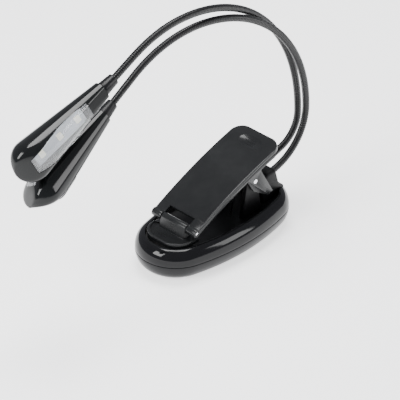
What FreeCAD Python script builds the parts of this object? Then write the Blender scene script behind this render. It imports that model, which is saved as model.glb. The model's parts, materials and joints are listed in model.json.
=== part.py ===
import FreeCAD, Part
import math
import os
import Sketcher
from FreeCAD import Rotation, Vector

# Clip on reading lamp: a battery base with a spring clip and two gooseneck arms, each with a lamp head.
# Frame: origin on the underside of the feet at the middle of the base, +X towards the necks (rear),
# -X towards the jaw (front), +Z up. Lengths are millimetres, angles degrees.

SIZES = {
    # base casing
    "base_length": 109, "base_width": 56, "base_end_radius": 24, "base_height": 20.5,
    "foot_height": 0.8, "foot_radius": 4, "foot_sink": 0.6,
    "foot_front_x": 41, "foot_front_y": 7, "foot_rear_x": 38, "foot_rear_y": 8, "split_height": 11, "wall": 1.6,
    "lower_round": 7, "upper_round": 6, "rim_inset": 6.3, "recess_floor_height": 15.2,
    "recess_floor_thickness": 1.4, "shell_floor": 1.8, "corner_inset": 5.5, "corner_height": 5,
    "gap": 0.3, "running_fit": 0.05,
    # batteries, contacts, circuit board and power inlet
    "cell_radius": 5.25, "cell_length": 44.5, "cell_pitch": 11.2, "cell_centre_x": -9,
    "contact_thickness": 0.6, "partition": 1.2, "spring_squeeze": 1.5,
    "door_width": 36, "door_thickness": 1.6,
    "board_length": 26, "board_width": 22, "board_thickness": 1.2, "board_start": 17, "board_height": 4.3,
    "inlet_bore_radius": 1.75, "inlet_depth": 9, "inlet_length": 12, "inlet_width": 7, "inlet_height": 5,
    "inlet_axis_height": 8, "inlet_pin_radius": 0.65, "inlet_mouth_radius": 2.4,
    # screws
    "screw_radius": 1.1, "screw_head_radius": 2.2, "screw_head_height": 1.6, "screw_length": 9,
    "boss_radius": 3.1, "screw_front_x": 38.5, "screw_front_y": 13.6, "screw_rear_x": 30, "screw_rear_y": 16.5,
    # clip
    "pivot_x": 19.2, "pivot_z": 39.2, "pivot_pin_radius": 1.5, "post_inner": 10.4, "post_thickness": 3,
    "post_top_radius": 4.6, "post_foot": 16, "lever_tilt": 21.5, "lever_width": 34.8, "lever_thickness": 2.2,
    "lever_front": 51.3, "lever_rear": 25.8, "lever_rise": 8.2, "lever_bow": 2.4, "ear_thickness": 2,
    "ear_outer": 16, "ear_drop": 17.4, "thumb_corner": 8, "skirt_depth": 1.6,
    "jaw_pin_radius": 1.0, "jaw_pin_x": -30.5, "jaw_pin_z": 26.8, "knuckle_radius": 2.6,
    "notch_half": 10, "notch_depth": 7.5, "jaw_half_width": 15.5, "jaw_nose": 14.5, "jaw_corner": 11, "jaw_thickness": 2.4,
    "jaw_floor_height": 19.2, "jaw_lip": 0.7, "jaw_lip_width": 1.2, "jaw_heel": 3.5, "jaw_pad_thickness": 1.3,
    "base_pad_thickness": 2.3, "base_pad_length": 18,
    "spring_radius": 4, "spring_wire": 1.2, "spring_half_length": 5, "spring_leg": 14, "spring_leg_radius": 0.5,
    # necks
    "neck_radius": 2.25, "neck_bore": 1.3, "wire_radius": 0.9, "root_x": 44, "root_z": 29, "root_half": 4.6,
    "root_heading": 16, "ferrule_radius": 3.1, "ferrule_length": 9, "ferrule_lip": 1, "bend_gap": 1.2,
    "boss_half": 10.5, "boss_front": 31.5, "boss_rear": 49.5, "boss_above": 5.5, "boss_below": 5,
    "a_root_run": 19.1, "a_rear_radius": 19.9, "a_top_radius": 106.1, "a_top_heading": 178.7,
    "a_front_radius": 82.8, "a_end_heading": 204.1, "a_end_run": 16.9, "a_turn": 2.2,
    "b_root_run": 6.5, "b_rear_radius": 32.5, "b_top_radius": 86.2, "b_top_heading": 176.7,
    "b_front_radius": 74.6, "b_end_heading": 216.7, "b_end_run": 18.6, "b_turn": -5,
    # lamp heads
    "a_head_pitch": -22, "a_head_yaw": -0.5, "a_head_roll": 106,
    "b_head_pitch": -22.8, "b_head_yaw": 7.7, "b_head_roll": 214,
    "collar_length": 9.5, "collar_mouth_radius": 3.35, "collar_base_radius": 4.25, "collar_wall": 0.9,
    "spigot_radius": 2.9, "spigot_length": 4,
    "head_length": 69, "head_neck_radius": 5.3, "head_tip_radius": 12, "head_wall": 1.3, "tip_margin": 0.4,
    "face_neck": 4.3, "face_wide": 9.9, "face_run": 46, "back_neck": 4.3, "back_wide": 8.8, "back_run": 48,
    "lens_start": 14.4, "lens_end": 60, "lens_thickness": 1.2, "lens_half_width": 6.7, "lens_side_radius": 110,
    "lens_fit": 0.1,
    "led_board_start": 18, "led_board_end": 56, "led_board_half": 4.3, "led_board_level": 1.5,
    "led_board_thickness": 1, "led_size": 3, "led_height": 1.2, "led_pitch": 14,
    "tray_thickness": 0.9, "tray_hole_half": 1.9,
    "button_centre": 45, "button_length": 18.5, "button_width": 9, "button_travel": 0.8, "button_proud": 1.1,
    "button_fit": 0.2, "switch_size": 6, "switch_height": 3.4,
}

doc = FreeCAD.newDocument("ClipOnReadingLamp")
sheet = doc.addObject("Spreadsheet::Sheet", "Sizes")
for row, (alias, number) in enumerate(SIZES.items(), 1):
    sheet.set("A%d" % row, alias)
    sheet.set("B%d" % row, str(number))
    sheet.setAlias("B%d" % row, alias)
doc.recompute()


class Size:
    """A size that carries both its value and the spreadsheet expression it comes from."""

    def __init__(self, value, text):
        self.value = float(value)
        self.text = text

    def __float__(self):
        return self.value

    def __neg__(self):
        return Size(-self.value, "(-%s)" % self.text)

    def __add__(self, other):
        return Size(self.value + float(other), "(%s + %s)" % (self.text, text_of(other)))

    def __sub__(self, other):
        return Size(self.value - float(other), "(%s - %s)" % (self.text, text_of(other)))

    def __mul__(self, other):
        return Size(self.value * float(other), "(%s * %s)" % (self.text, text_of(other)))

    def __truediv__(self, other):
        return Size(self.value / float(other), "(%s / %s)" % (self.text, text_of(other)))

    def __radd__(self, other):
        return as_size(other) + self

    def __rsub__(self, other):
        return as_size(other) - self

    __rmul__ = __mul__


def as_size(item):
    return item if isinstance(item, Size) else Size(item, repr(float(item)))


def text_of(item):
    return as_size(item).text


class Sheet:
    """Reads a driving dimension by its alias, as in size.base_length."""

    def __getattr__(self, alias):
        return Size(sheet.get(alias), "Sizes." + alias)


size = Sheet()
parts = []


def node(obj, label):
    """Keep a finished sub-part under its own label."""
    obj.Label = label
    parts.append(obj)
    return obj


def bind(obj, **sizes):
    for name, item in sizes.items():
        obj.setExpression(name, text_of(item))
    return obj


def place(obj, corner=(0, 0, 0), rotation=None):
    """Put an object at a point whose coordinates may be spreadsheet sizes."""
    obj.Placement = FreeCAD.Placement(Vector(*[float(c) for c in corner]), rotation or Rotation())
    for axis, item in zip("xyz", corner):
        if isinstance(item, Size):
            obj.setExpression("Placement.Base." + axis, item.text)
    return obj


def box(length, width, height, corner):
    block = doc.addObject("Part::Box", "Block")
    bind(block, Length=length, Width=width, Height=height)
    return place(block, corner)


def middle_box(start, end, half_width, bottom, top):
    """A box from start to end along X, centred on Y, from bottom to top."""
    return box(as_size(end) - start, as_size(half_width) * 2, as_size(top) - bottom,
               (start, -as_size(half_width), bottom))


TURN = {"z": Rotation(), "x": Rotation(Vector(0, 1, 0), 90), "y": Rotation(Vector(1, 0, 0), -90)}


def rod(radius, length, base, along="z"):
    cylinder = doc.addObject("Part::Cylinder", "Rod")
    bind(cylinder, Radius=radius, Height=length)
    return place(cylinder, base, TURN[along])


def ring(radius, bore, length, base, along="z"):
    return cut(rod(radius, length, base, along), rod(bore, length, base, along))


def fuse(*shapes):
    if len(shapes) == 1:
        return shapes[0]
    union = doc.addObject("Part::MultiFuse", "Union")
    union.Shapes = list(shapes)
    return union


def cut(base, *tools):
    difference = doc.addObject("Part::Cut", "Difference")
    difference.Base = base
    difference.Tool = fuse(*tools)
    return difference


def common(base, tool):
    overlap = doc.addObject("Part::Common", "Overlap")
    overlap.Base = base
    overlap.Tool = tool
    return overlap


def group(*shapes):
    """Several separate solids that are one node."""
    compound = doc.addObject("Part::Compound", "Group")
    compound.Links = list(shapes)
    return compound


def new_sketch(body, role):
    plane = next(item for item in body.Origin.OriginFeatures if item.Role == role)
    sketch = body.newObject("Sketcher::SketchObject", "Sketch")
    sketch.AttachmentSupport = [(plane, "")]
    sketch.MapMode = "FlatFace"
    return sketch


def hold(sketch, kind, *where, item):
    """Add a constraint whose size follows the spreadsheet."""
    index = sketch.addConstraint(Sketcher.Constraint(kind, *where, float(item)))
    if isinstance(item, Size):
        sketch.setExpression("Constraints[%d]" % index, item.text)


def hold_point(sketch, edge, end, point):
    hold(sketch, "DistanceX", -1, 1, edge, end, item=as_size(point[0]))
    hold(sketch, "DistanceY", -1, 1, edge, end, item=as_size(point[1]))


def polygon(body, role, points):
    """A closed sketch of straight edges through points bound to the spreadsheet."""
    sketch = new_sketch(body, role)
    spots = [Vector(float(x), float(y), 0) for x, y in points]
    count = len(spots)
    for index in range(count):
        sketch.addGeometry(Part.LineSegment(spots[index], spots[(index + 1) % count]), False)
    for index in range(count):
        sketch.addConstraint(Sketcher.Constraint("Coincident", index, 2, (index + 1) % count, 1))
        hold_point(sketch, index, 1, points[index])
    return sketch


def pad(body, sketch, length, midplane=False):
    feature = body.newObject("PartDesign::Pad", "Pad")
    feature.Profile = sketch
    feature.Midplane = midplane
    bind(feature, Length=length)
    body.Tip = feature
    return feature


def prism(role, points, length):
    """A straight-edged outline on an origin plane, padded to both sides of it."""
    body = doc.addObject("PartDesign::Body", "Prism")
    pad(body, polygon(body, role, points), length, midplane=True)
    return body


def arc(centre, radius, start, end):
    circle = Part.Circle(Vector(float(centre[0]), float(centre[1]), 0), Vector(0, 0, 1), float(radius))
    return Part.ArcOfCircle(circle, math.radians(start), math.radians(end))


# ---------------------------------------------------------------- base casing

def oval(inset, bottom, top, rounded=None, round_radius=0):
    """An upright block with the base's outline, inset all round, from bottom to top.

    The outline is four tangent arcs: two round ends and two long sides.
    rounded is "top" or "bottom" where that edge is rolled over.
    """
    half_length = size.base_length / 2 - inset
    half_width = size.base_width / 2 - inset
    end_radius = size.base_end_radius - inset
    reach = half_length - end_radius
    side_radius = (reach * reach + half_width * half_width - end_radius * end_radius) \
        / (half_width - end_radius) / 2
    drop = side_radius - half_width
    swing = math.degrees(math.atan2(float(drop), float(reach)))

    body = doc.addObject("PartDesign::Body", "Oval")
    sketch = new_sketch(body, "XY_Plane")
    sketch.addGeometry(arc((reach, 0), end_radius, -swing, swing), False)
    sketch.addGeometry(arc((0, -drop), side_radius, swing, 180 - swing), False)
    sketch.addGeometry(arc((-reach, 0), end_radius, 180 - swing, 180 + swing), False)
    sketch.addGeometry(arc((0, drop), side_radius, 180 + swing, 360 - swing), False)
    for index in range(4):
        sketch.addConstraint(Sketcher.Constraint("Tangent", index, 2, (index + 1) % 4, 1))
    hold_point(sketch, 0, 3, (reach, 0))
    hold_point(sketch, 2, 3, (-reach, 0))
    hold(sketch, "Radius", 0, item=end_radius)
    hold(sketch, "Radius", 2, item=end_radius)
    hold(sketch, "Radius", 1, item=side_radius)
    hold(sketch, "Radius", 3, item=side_radius)
    feature = pad(body, sketch, as_size(top) - bottom)
    if rounded:
        doc.recompute()
        level = feature.Shape.BoundBox.ZMax if rounded == "top" else feature.Shape.BoundBox.ZMin
        edges = ["Edge%d" % number for number, edge in enumerate(feature.Shape.Edges, 1)
                 if abs(edge.BoundBox.ZMin - level) < 0.01 and abs(edge.BoundBox.ZMax - level) < 0.01]
        fillet = body.newObject("PartDesign::Fillet", "Fillet")
        fillet.Base = (feature, edges)
        bind(fillet, Radius=round_radius)
        body.Tip = fillet
    return place(body, (0, 0, bottom))


SCREWS = [(-size.screw_front_x, size.screw_front_y), (-size.screw_front_x, -size.screw_front_y),
          (size.screw_rear_x, size.screw_rear_y), (size.screw_rear_x, -size.screw_rear_y)]
FLOOR_TOP = size.foot_height + size.shell_floor
CEILING = size.recess_floor_height - size.recess_floor_thickness
FRONT_CONTACT = size.cell_centre_x - size.cell_length / 2 - size.spring_squeeze
REAR_CONTACT = size.cell_centre_x + size.cell_length / 2
DOOR_START = FRONT_CONTACT - size.contact_thickness
DOOR_END = REAR_CONTACT + size.contact_thickness
INLET_END = size.base_length / 2 - size.wall - size.gap * 2
HEAD_SEAT = size.foot_height + 0.4
FEET = [(-size.foot_front_x, size.foot_front_y), (-size.foot_front_x, -size.foot_front_y),
        (size.foot_rear_x, size.foot_rear_y), (size.foot_rear_x, -size.foot_rear_y)]


def make_lower_shell():
    solid = oval(0, size.foot_height, size.split_height, "bottom", size.lower_round)
    hollow = [oval(size.corner_inset, FLOOR_TOP, size.split_height + 1),
              oval(size.wall, size.corner_height, size.split_height + 1)]
    shell = cut(solid, *hollow)
    inside = [rod(size.boss_radius, size.split_height - size.gap - size.foot_height - 0.8,
                  (x, y, size.foot_height + 0.8)) for x, y in SCREWS]
    board_posts = [rod(2, size.board_height - FLOOR_TOP + 0.4, (size.board_start + x, y, FLOOR_TOP - 0.4))
                   for x in (3, size.board_length - 4) for y in (-8, 8)]
    partition_top = CEILING - size.gap
    walls = [middle_box(FRONT_CONTACT - size.contact_thickness - size.gap / 3 - size.partition,
                        FRONT_CONTACT - size.contact_thickness - size.gap / 3,
                        size.cell_pitch * 1.5, FLOOR_TOP - 0.4, partition_top),
             middle_box(REAR_CONTACT + size.contact_thickness + size.gap / 3,
                        REAR_CONTACT + size.contact_thickness + size.gap / 3 + size.partition,
                        size.cell_pitch * 1.5, FLOOR_TOP - 0.4, partition_top)]
    solid_inside = fuse(shell, *inside, *board_posts, *walls)
    openings = [middle_box(DOOR_START, DOOR_END, size.door_width / 2, 0, FLOOR_TOP + 0.01)]
    openings += [rod(size.screw_radius + size.gap / 2, size.split_height + 1, (x, y, 0)) for x, y in SCREWS]
    openings += [rod(size.screw_head_radius + size.gap, size.screw_head_height + HEAD_SEAT - 0.4, (x, y, 0))
                 for x, y in SCREWS]
    openings += [rod(size.foot_radius + size.gap / 3, size.foot_height + size.foot_sink, (x, y, 0))
                 for x, y in FEET]
    openings.append(rod(size.inlet_mouth_radius, 8, (size.base_length / 2 - 6, 0, size.inlet_axis_height), "x"))
    node(cut(solid_inside, *openings), "base_lower_shell")


def make_upper_shell():
    solid = oval(0, size.split_height, size.base_height, "top", size.upper_round)
    hollow = oval(size.wall, size.split_height - 1, CEILING)
    recess = oval(size.rim_inset, size.recess_floor_height, size.base_height + 1)
    shell = cut(solid, hollow, recess)
    bosses = [rod(size.boss_radius, CEILING - size.split_height + 0.3, (x, y, size.split_height))
              for x, y in SCREWS]
    posts = []
    root = size.recess_floor_height - 0.7
    for side in (-1, 1):
        outline = [(size.pivot_x - size.post_foot / 2, root), (size.pivot_x + size.post_foot / 2, root),
                   (size.pivot_x + size.post_top_radius, size.pivot_z),
                   (size.pivot_x - size.post_top_radius, size.pivot_z)]
        centre = (size.post_inner + size.post_thickness / 2) * side
        posts.append(place(prism("XZ_Plane", outline, size.post_thickness), (0, centre, 0)))
        posts.append(rod(size.post_top_radius, size.post_thickness,
                         (size.pivot_x, centre - size.post_thickness / 2, size.pivot_z), "y"))
    tilt = math.radians(float(size.root_heading))
    above = (size.root_x - size.boss_above * math.sin(tilt), size.root_z + size.boss_above * math.cos(tilt))
    below = (size.root_x + size.boss_below * math.sin(tilt), size.root_z - size.boss_below * math.cos(tilt))
    neck_boss = prism("XZ_Plane", [(size.boss_front, root), (size.boss_rear, root),
                                   (size.boss_rear, size.base_height), below, above,
                                   (size.boss_front, above[1] - 3)], size.boss_half * 2)
    body = fuse(shell, *bosses, *posts, neck_boss)
    holes = [rod(size.pivot_pin_radius + size.running_fit, size.lever_width,
                 (size.pivot_x, -size.lever_width / 2, size.pivot_z), "y")]
    holes += [rod(size.screw_radius + size.running_fit, size.screw_length, (x, y, size.split_height - 6))
              for x, y in SCREWS]
    for side in (-1, 1):
        start = neck_point(-float(size.ferrule_length) - 3, side)
        socket = doc.addObject("Part::Cylinder", "Socket")
        bind(socket, Radius=size.ferrule_radius + size.running_fit, Height=size.ferrule_length + 8)
        holes.append(place(socket, start, ALONG_ROOT))
        holes.append(rod(2, size.root_z - CEILING + 1, (start[0] + 1.5, start[1], CEILING - 1)))
    node(cut(body, *holes), "base_upper_shell")


def make_door():
    clear = size.gap
    door = middle_box(DOOR_START + clear, DOOR_END - clear, size.door_width / 2 - clear,
                      size.foot_height, size.foot_height + size.door_thickness)
    node(door, "battery_door")


def make_feet():
    node(group(*[rod(size.foot_radius, size.foot_height + size.foot_sink - 0.05, (x, y, 0)) for x, y in FEET]),
         "rubber_feet")


def make_screws():
    screws = []
    for x, y in SCREWS:
        head = rod(size.screw_head_radius, size.screw_head_height, (x, y, HEAD_SEAT - 0.4))
        shank = rod(size.screw_radius, size.screw_length, (x, y, HEAD_SEAT + size.screw_head_height - 0.5))
        slot_a = box(2.4, 0.6, HEAD_SEAT + 0.4, (x - 1.2, y - 0.3, 0))
        slot_b = box(0.6, 2.4, HEAD_SEAT + 0.4, (x - 0.3, y - 1.2, 0))
        screws.append(cut(fuse(head, shank), slot_a, slot_b))
    node(group(*screws), "base_screws")


def make_power():
    axis = FLOOR_TOP + size.cell_radius + size.gap / 3
    cells = []
    springs = []
    plates = []
    for lane in (-1, 0, 1):
        y = size.cell_pitch * lane
        start = size.cell_centre_x - size.cell_length / 2
        can = rod(size.cell_radius, size.cell_length - 1, (start, y, axis), "x")
        button = rod(1.9, 1.5, (start + size.cell_length - 1.5, y, axis), "x")
        cells.append(fuse(can, button))
        springs.append(ring(2.6, 1.9, size.spring_squeeze - 0.1, (start - size.spring_squeeze + 0.05, y, axis), "x"))
        plate_size = (size.contact_thickness, size.cell_pitch - 1.2, size.cell_radius * 2 - 1)
        low = axis - size.cell_radius + 0.5
        across = y - size.cell_pitch / 2 + 0.6
        plates.append(box(*plate_size, (FRONT_CONTACT - size.contact_thickness, across, low)))
        plates.append(box(*plate_size, (REAR_CONTACT + 0.05, across, low)))
    node(group(*cells), "battery_cells")
    node(group(*springs), "battery_springs")
    node(group(*plates), "battery_contact_plates")


def make_electronics():
    board = middle_box(size.board_start, size.board_start + size.board_length, size.board_width / 2,
                       size.board_height, size.board_height + size.board_thickness)
    node(board, "base_circuit_board")
    bottom = size.inlet_axis_height - size.inlet_height / 2
    case = middle_box(INLET_END - size.inlet_length, INLET_END, size.inlet_width / 2,
                      bottom, bottom + size.inlet_height)
    bore = rod(size.inlet_bore_radius, size.inlet_depth, (INLET_END - size.inlet_depth, 0, size.inlet_axis_height), "x")
    pin = rod(size.inlet_pin_radius, size.inlet_depth - 0.5,
              (INLET_END - size.inlet_depth - 0.5, 0, size.inlet_axis_height), "x")
    node(fuse(cut(case, bore), pin), "power_inlet")


# ---------------------------------------------------------------- clip

LEVER_TURN = Rotation(Vector(0, 1, 0), -float(size.lever_tilt))
PIVOT = (size.pivot_x, 0, size.pivot_z)


def lever_point(x, z):
    """Where a point of the base frame lies on the lever, whose own origin is the pivot."""
    angle = math.radians(float(size.lever_tilt))
    dx = x - size.pivot_x
    dz = z - size.pivot_z
    return (dx * math.cos(angle) + dz * math.sin(angle), dz * math.cos(angle) - dx * math.sin(angle))


def bowed_strip(front, rear, level, bow, thickness):
    """Sketch on XZ of a strip between two parallel arcs, bowed upwards."""
    body = doc.addObject("PartDesign::Body", "Plate")
    sketch = new_sketch(body, "XZ_Plane")
    span = front + rear
    middle = (rear - front) / 2
    radius = (span * span / 4 + bow * bow) / bow / 2
    inner = radius - thickness
    height = level + bow - radius
    half = math.degrees(math.asin(float(span) / 2 / float(radius)))
    sketch.addGeometry(arc((middle, height), radius, 90 - half, 90 + half), False)
    sketch.addGeometry(arc((middle, height), inner, 90 - half, 90 + half), False)
    outer_arc, inner_arc = sketch.Geometry
    sketch.addGeometry(Part.LineSegment(outer_arc.EndPoint, inner_arc.EndPoint), False)
    sketch.addGeometry(Part.LineSegment(inner_arc.StartPoint, outer_arc.StartPoint), False)
    sketch.addConstraint(Sketcher.Constraint("Coincident", 0, 2, 2, 1))
    sketch.addConstraint(Sketcher.Constraint("Coincident", 2, 2, 1, 2))
    sketch.addConstraint(Sketcher.Constraint("Coincident", 1, 1, 3, 1))
    sketch.addConstraint(Sketcher.Constraint("Coincident", 3, 2, 0, 1))
    hold_point(sketch, 0, 3, (middle, height))
    hold_point(sketch, 1, 3, (middle, height))
    hold(sketch, "Radius", 0, item=radius)
    hold(sketch, "Radius", 1, item=inner)
    hold(sketch, "DistanceX", -1, 1, 0, 1, item=as_size(rear))
    hold(sketch, "DistanceX", -1, 1, 0, 2, item=-as_size(front))
    hold(sketch, "DistanceX", -1, 1, 1, 1, item=as_size(rear))
    hold(sketch, "DistanceX", -1, 1, 1, 2, item=-as_size(front))
    return body, sketch


def make_lever():
    body, sketch = bowed_strip(size.lever_front, size.lever_rear, size.lever_rise, size.lever_bow,
                               size.lever_thickness)
    plate = pad(body, sketch, size.lever_width, midplane=True)
    doc.recompute()
    upright = ["Edge%d" % number for number, edge in enumerate(plate.Shape.Edges, 1)
               if edge.BoundBox.XMin > float(size.lever_rear) - 0.1 and edge.BoundBox.YLength < 0.01
               and edge.BoundBox.ZLength > 0.5]
    fillet = body.newObject("PartDesign::Fillet", "Fillet")
    fillet.Base = (plate, upright)
    bind(fillet, Radius=size.thumb_corner)
    body.Tip = fillet

    skirt_body, skirt_sketch = bowed_strip(size.lever_front - 1.5, size.lever_rear - size.thumb_corner,
                                           size.lever_rise - size.lever_thickness + 0.3, size.lever_bow - 0.4,
                                           size.skirt_depth + 0.3)
    pad(skirt_body, skirt_sketch, size.lever_width, midplane=True)
    hollow = middle_box(-size.lever_front - 5, size.lever_rear + 5, size.lever_width / 2 - size.wall,
                        -size.ear_drop, size.lever_rise + size.lever_bow + 5)
    skirt = cut(skirt_body, hollow)

    ears = []
    top = size.lever_rise + size.lever_bow - size.lever_thickness / 2
    for side in (-1, 1):
        outline = [(-6, top), (-3.6, -5.5), (5.2, -size.ear_drop), (9, -size.ear_drop), (6.4, 2.5), (8, top - 0.3)]
        centre = (size.ear_outer - size.ear_thickness / 2) * side
        ears.append(place(prism("XZ_Plane", outline, size.ear_thickness), (0, centre, 0)))

    pin_x, pin_z = lever_point(size.jaw_pin_x, size.jaw_pin_z)
    knuckle_length = size.lever_width / 2 - size.notch_half - size.gap
    knuckles = [rod(size.knuckle_radius, knuckle_length, (pin_x, size.notch_half + size.gap, pin_z), "y"),
                rod(size.knuckle_radius, knuckle_length, (pin_x, -size.lever_width / 2, pin_z), "y")]
    ridges = [rod(0.6, 15, (size.lever_rear - spot, -7.5, size.lever_rise + ridge_lift), "y")
              for spot, ridge_lift in ((5.5, 0.1), (8.5, 0.4), (11.5, 0.7))]
    notch = middle_box(-size.lever_front - 5, -size.lever_front + size.notch_depth, size.notch_half, -5, 20)
    dimple = rod(32, 19, (size.lever_rear - 9, -9.5, size.lever_rise + 32.1), "y")
    solid = cut(fuse(body, skirt, *ears, *knuckles), notch, dimple,
                rod(size.pivot_pin_radius + size.running_fit, size.lever_width, (0, -size.lever_width / 2, 0), "y"),
                rod(size.jaw_pin_radius, size.lever_width + 2, (pin_x, -size.lever_width / 2 - 1, pin_z), "y"))
    lever = fuse(solid, *ridges)
    place(lever, PIVOT, LEVER_TURN)
    node(lever, "clip_lever")


def make_pins():
    end = size.ear_outer + 0.2
    node(rod(size.pivot_pin_radius, end * 2, (size.pivot_x, -end, size.pivot_z), "y"), "clip_pivot_pin")
    end = size.lever_width / 2 - 0.1
    node(rod(size.jaw_pin_radius - 0.01, end * 2, (size.jaw_pin_x, -end, size.jaw_pin_z), "y"), "jaw_pin")


def make_spring():
    """The torsion spring is one wire: its coil and lower leg stay with the base, its upper leg with the lever."""
    half = size.spring_half_length
    coil = cut(rod(size.spring_radius, half * 2, (size.pivot_x, -half, size.pivot_z), "y"),
               rod(size.spring_radius - size.spring_wire, half * 2 + 2, (size.pivot_x, -half - 1, size.pivot_z), "y"))
    mid_radius = float(size.spring_radius - size.spring_wire / 2)
    foot = Vector(float(size.pivot_x) - 9, 0, float(size.recess_floor_height) + float(size.spring_wire) / 2 + 0.1)
    start = Vector(float(size.pivot_x) - mid_radius, 0, float(size.pivot_z))
    lower = doc.addObject("Part::Cylinder", "LowerLeg")
    bind(lower, Radius=size.spring_leg_radius)
    lower.Height = (foot - start).Length
    place(lower, (start.x, -size.spring_half_length + size.spring_wire / 2, start.z),
          Rotation(Vector(0, 0, 1), foot - start))
    node(fuse(coil, lower), "clip_spring")
    under = size.lever_rise - size.lever_thickness + size.lever_bow / 2 - size.spring_wire
    upper = rod(size.spring_leg_radius, size.spring_leg,
                (1.5, size.spring_half_length - size.spring_wire / 2, under), "x")
    place(group(upper), PIVOT, LEVER_TURN)
    node(doc.Objects[-1], "clip_spring_upper_leg")


def half_disc(half_width, nose, heel, rear_x, thickness, level):
    """A D-shaped plate: straight sides behind, a nose with two large rounded corners in front."""
    body = doc.addObject("PartDesign::Body", "DPlate")
    sketch = new_sketch(body, "XY_Plane")
    corner = size.jaw_corner
    flat = half_width - corner
    front = rear_x - nose
    sketch.addGeometry(Part.LineSegment(Vector(float(rear_x + heel), -float(half_width), 0),
                                        Vector(float(rear_x + heel), float(half_width), 0)), False)
    sketch.addGeometry(Part.LineSegment(Vector(float(rear_x + heel), float(half_width), 0),
                                        Vector(float(front + corner), float(half_width), 0)), False)
    sketch.addGeometry(arc((front + corner, flat), corner, 90, 180), False)
    sketch.addGeometry(Part.LineSegment(Vector(float(front), float(flat), 0),
                                        Vector(float(front), -float(flat), 0)), False)
    sketch.addGeometry(arc((front + corner, -flat), corner, 180, 270), False)
    sketch.addGeometry(Part.LineSegment(Vector(float(front + corner), -float(half_width), 0),
                                        Vector(float(rear_x + heel), -float(half_width), 0)), False)
    sketch.addConstraint(Sketcher.Constraint("Coincident", 0, 2, 1, 1))
    for first, second in ((1, 2), (2, 3), (3, 4), (4, 5)):
        sketch.addConstraint(Sketcher.Constraint("Tangent", first, 2, second, 1))
    sketch.addConstraint(Sketcher.Constraint("Coincident", 5, 2, 0, 1))
    hold_point(sketch, 0, 1, (rear_x + heel, -half_width))
    hold_point(sketch, 0, 2, (rear_x + heel, half_width))
    hold_point(sketch, 2, 3, (front + corner, flat))
    hold_point(sketch, 4, 3, (front + corner, -flat))
    pad(body, sketch, thickness)
    return place(body, (0, 0, level))


def make_jaw():
    rear = size.jaw_pin_x
    plate = half_disc(size.jaw_half_width, size.jaw_nose, size.jaw_heel, rear, size.jaw_thickness,
                      size.jaw_floor_height)
    lip_top = size.jaw_thickness + size.jaw_lip
    lip = cut(half_disc(size.jaw_half_width, size.jaw_nose, -2, rear, lip_top, size.jaw_floor_height),
              half_disc(size.jaw_half_width - size.jaw_lip_width, size.jaw_nose - size.jaw_lip_width, 3, rear,
                        lip_top + 1, size.jaw_floor_height))
    half = size.notch_half - size.gap
    barrel = rod(size.knuckle_radius, half * 2, (rear, -half, size.jaw_pin_z), "y")
    web_low = size.jaw_floor_height + size.jaw_thickness / 2
    web = prism("XZ_Plane", [(rear - 4.5, web_low), (rear + 3.2, web_low),
                             (rear + size.knuckle_radius, size.jaw_pin_z), (rear - size.knuckle_radius, size.jaw_pin_z)],
                half * 2)
    bore = rod(size.jaw_pin_radius + size.running_fit, size.lever_width, (rear, -size.lever_width / 2, size.jaw_pin_z), "y")
    node(cut(fuse(plate, lip, web, barrel), bore), "clip_jaw")
    inset = 1.5
    node(half_disc(size.jaw_half_width - inset, size.jaw_nose - inset, size.jaw_heel - inset, rear,
                   size.jaw_pad_thickness, size.jaw_floor_height - size.jaw_pad_thickness), "jaw_grip_pad")


def make_base_pad():
    blank = oval(size.rim_inset + size.gap, size.recess_floor_height,
                 size.recess_floor_height + size.base_pad_thickness)
    front = size.base_length / 2
    keep = middle_box(-front, size.rim_inset - front + size.base_pad_length, size.base_width / 2, 0, size.base_height)
    node(common(blank, keep), "base_grip_pad")


# ---------------------------------------------------------------- necks

ROOT_ANGLE = math.radians(float(size.root_heading))
ALONG_ROOT = Rotation(Vector(0, 0, 1), Vector(math.cos(ROOT_ANGLE), 0, math.sin(ROOT_ANGLE)))
SIDE = {"a": 1, "b": -1}


def neck_point(distance, side):
    """A point on the straight root of a neck, measured along it from the boss face."""
    return (size.root_x + distance * math.cos(ROOT_ANGLE), size.root_half * side,
            size.root_z + distance * math.sin(ROOT_ANGLE))


class Path:
    """Walks along a neck's centre line and leaves tubes behind: straight runs and round bends."""

    def __init__(self, start, heading, turn=0.0):
        self.spot = Vector(*[float(c) for c in start])
        self.heading = float(heading)
        self.turn = float(turn)
        self.stretches = []

    def direction(self, heading=None):
        angle = math.radians(self.heading if heading is None else heading)
        across = math.radians(self.turn)
        return Vector(math.cos(angle) * math.cos(across), math.cos(angle) * math.sin(across), math.sin(angle))

    def run(self, length, keep=True):
        if keep:
            self.stretches.append(("run", self.spot, self.direction(), float(length)))
        self.spot = self.spot + self.direction() * float(length)

    def bend(self, radius, heading):
        upward = self.direction(self.heading + 90)
        centre = self.spot + upward * float(radius)
        self.stretches.append(("bend", centre, self.spot - centre, self.direction(), float(radius),
                               float(heading) - self.heading))
        self.heading = float(heading)
        self.spot = centre - self.direction(self.heading + 90) * float(radius)

    def tube(self, radius):
        shapes = []
        for kind, base, *rest in self.stretches:
            if kind == "run":
                direction, length = rest
                piece = doc.addObject("Part::Cylinder", "Run")
                bind(piece, Radius=radius)
                piece.Height = length
                turn = Rotation(Vector(0, 0, 1), direction)
            else:
                outward, forward, bend_radius, sweep = rest
                piece = doc.addObject("Part::Torus", "Bend")
                bind(piece, Radius2=radius)
                piece.Radius1 = bend_radius
                piece.Angle3 = sweep
                turn = Rotation(outward, forward, outward.cross(forward), "XYZ")
            shapes.append(place(piece, tuple(base), turn))
        return fuse(*shapes)

    def hollow_tube(self, radius, bore):
        return cut(self.tube(radius), self.tube(bore))


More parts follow.
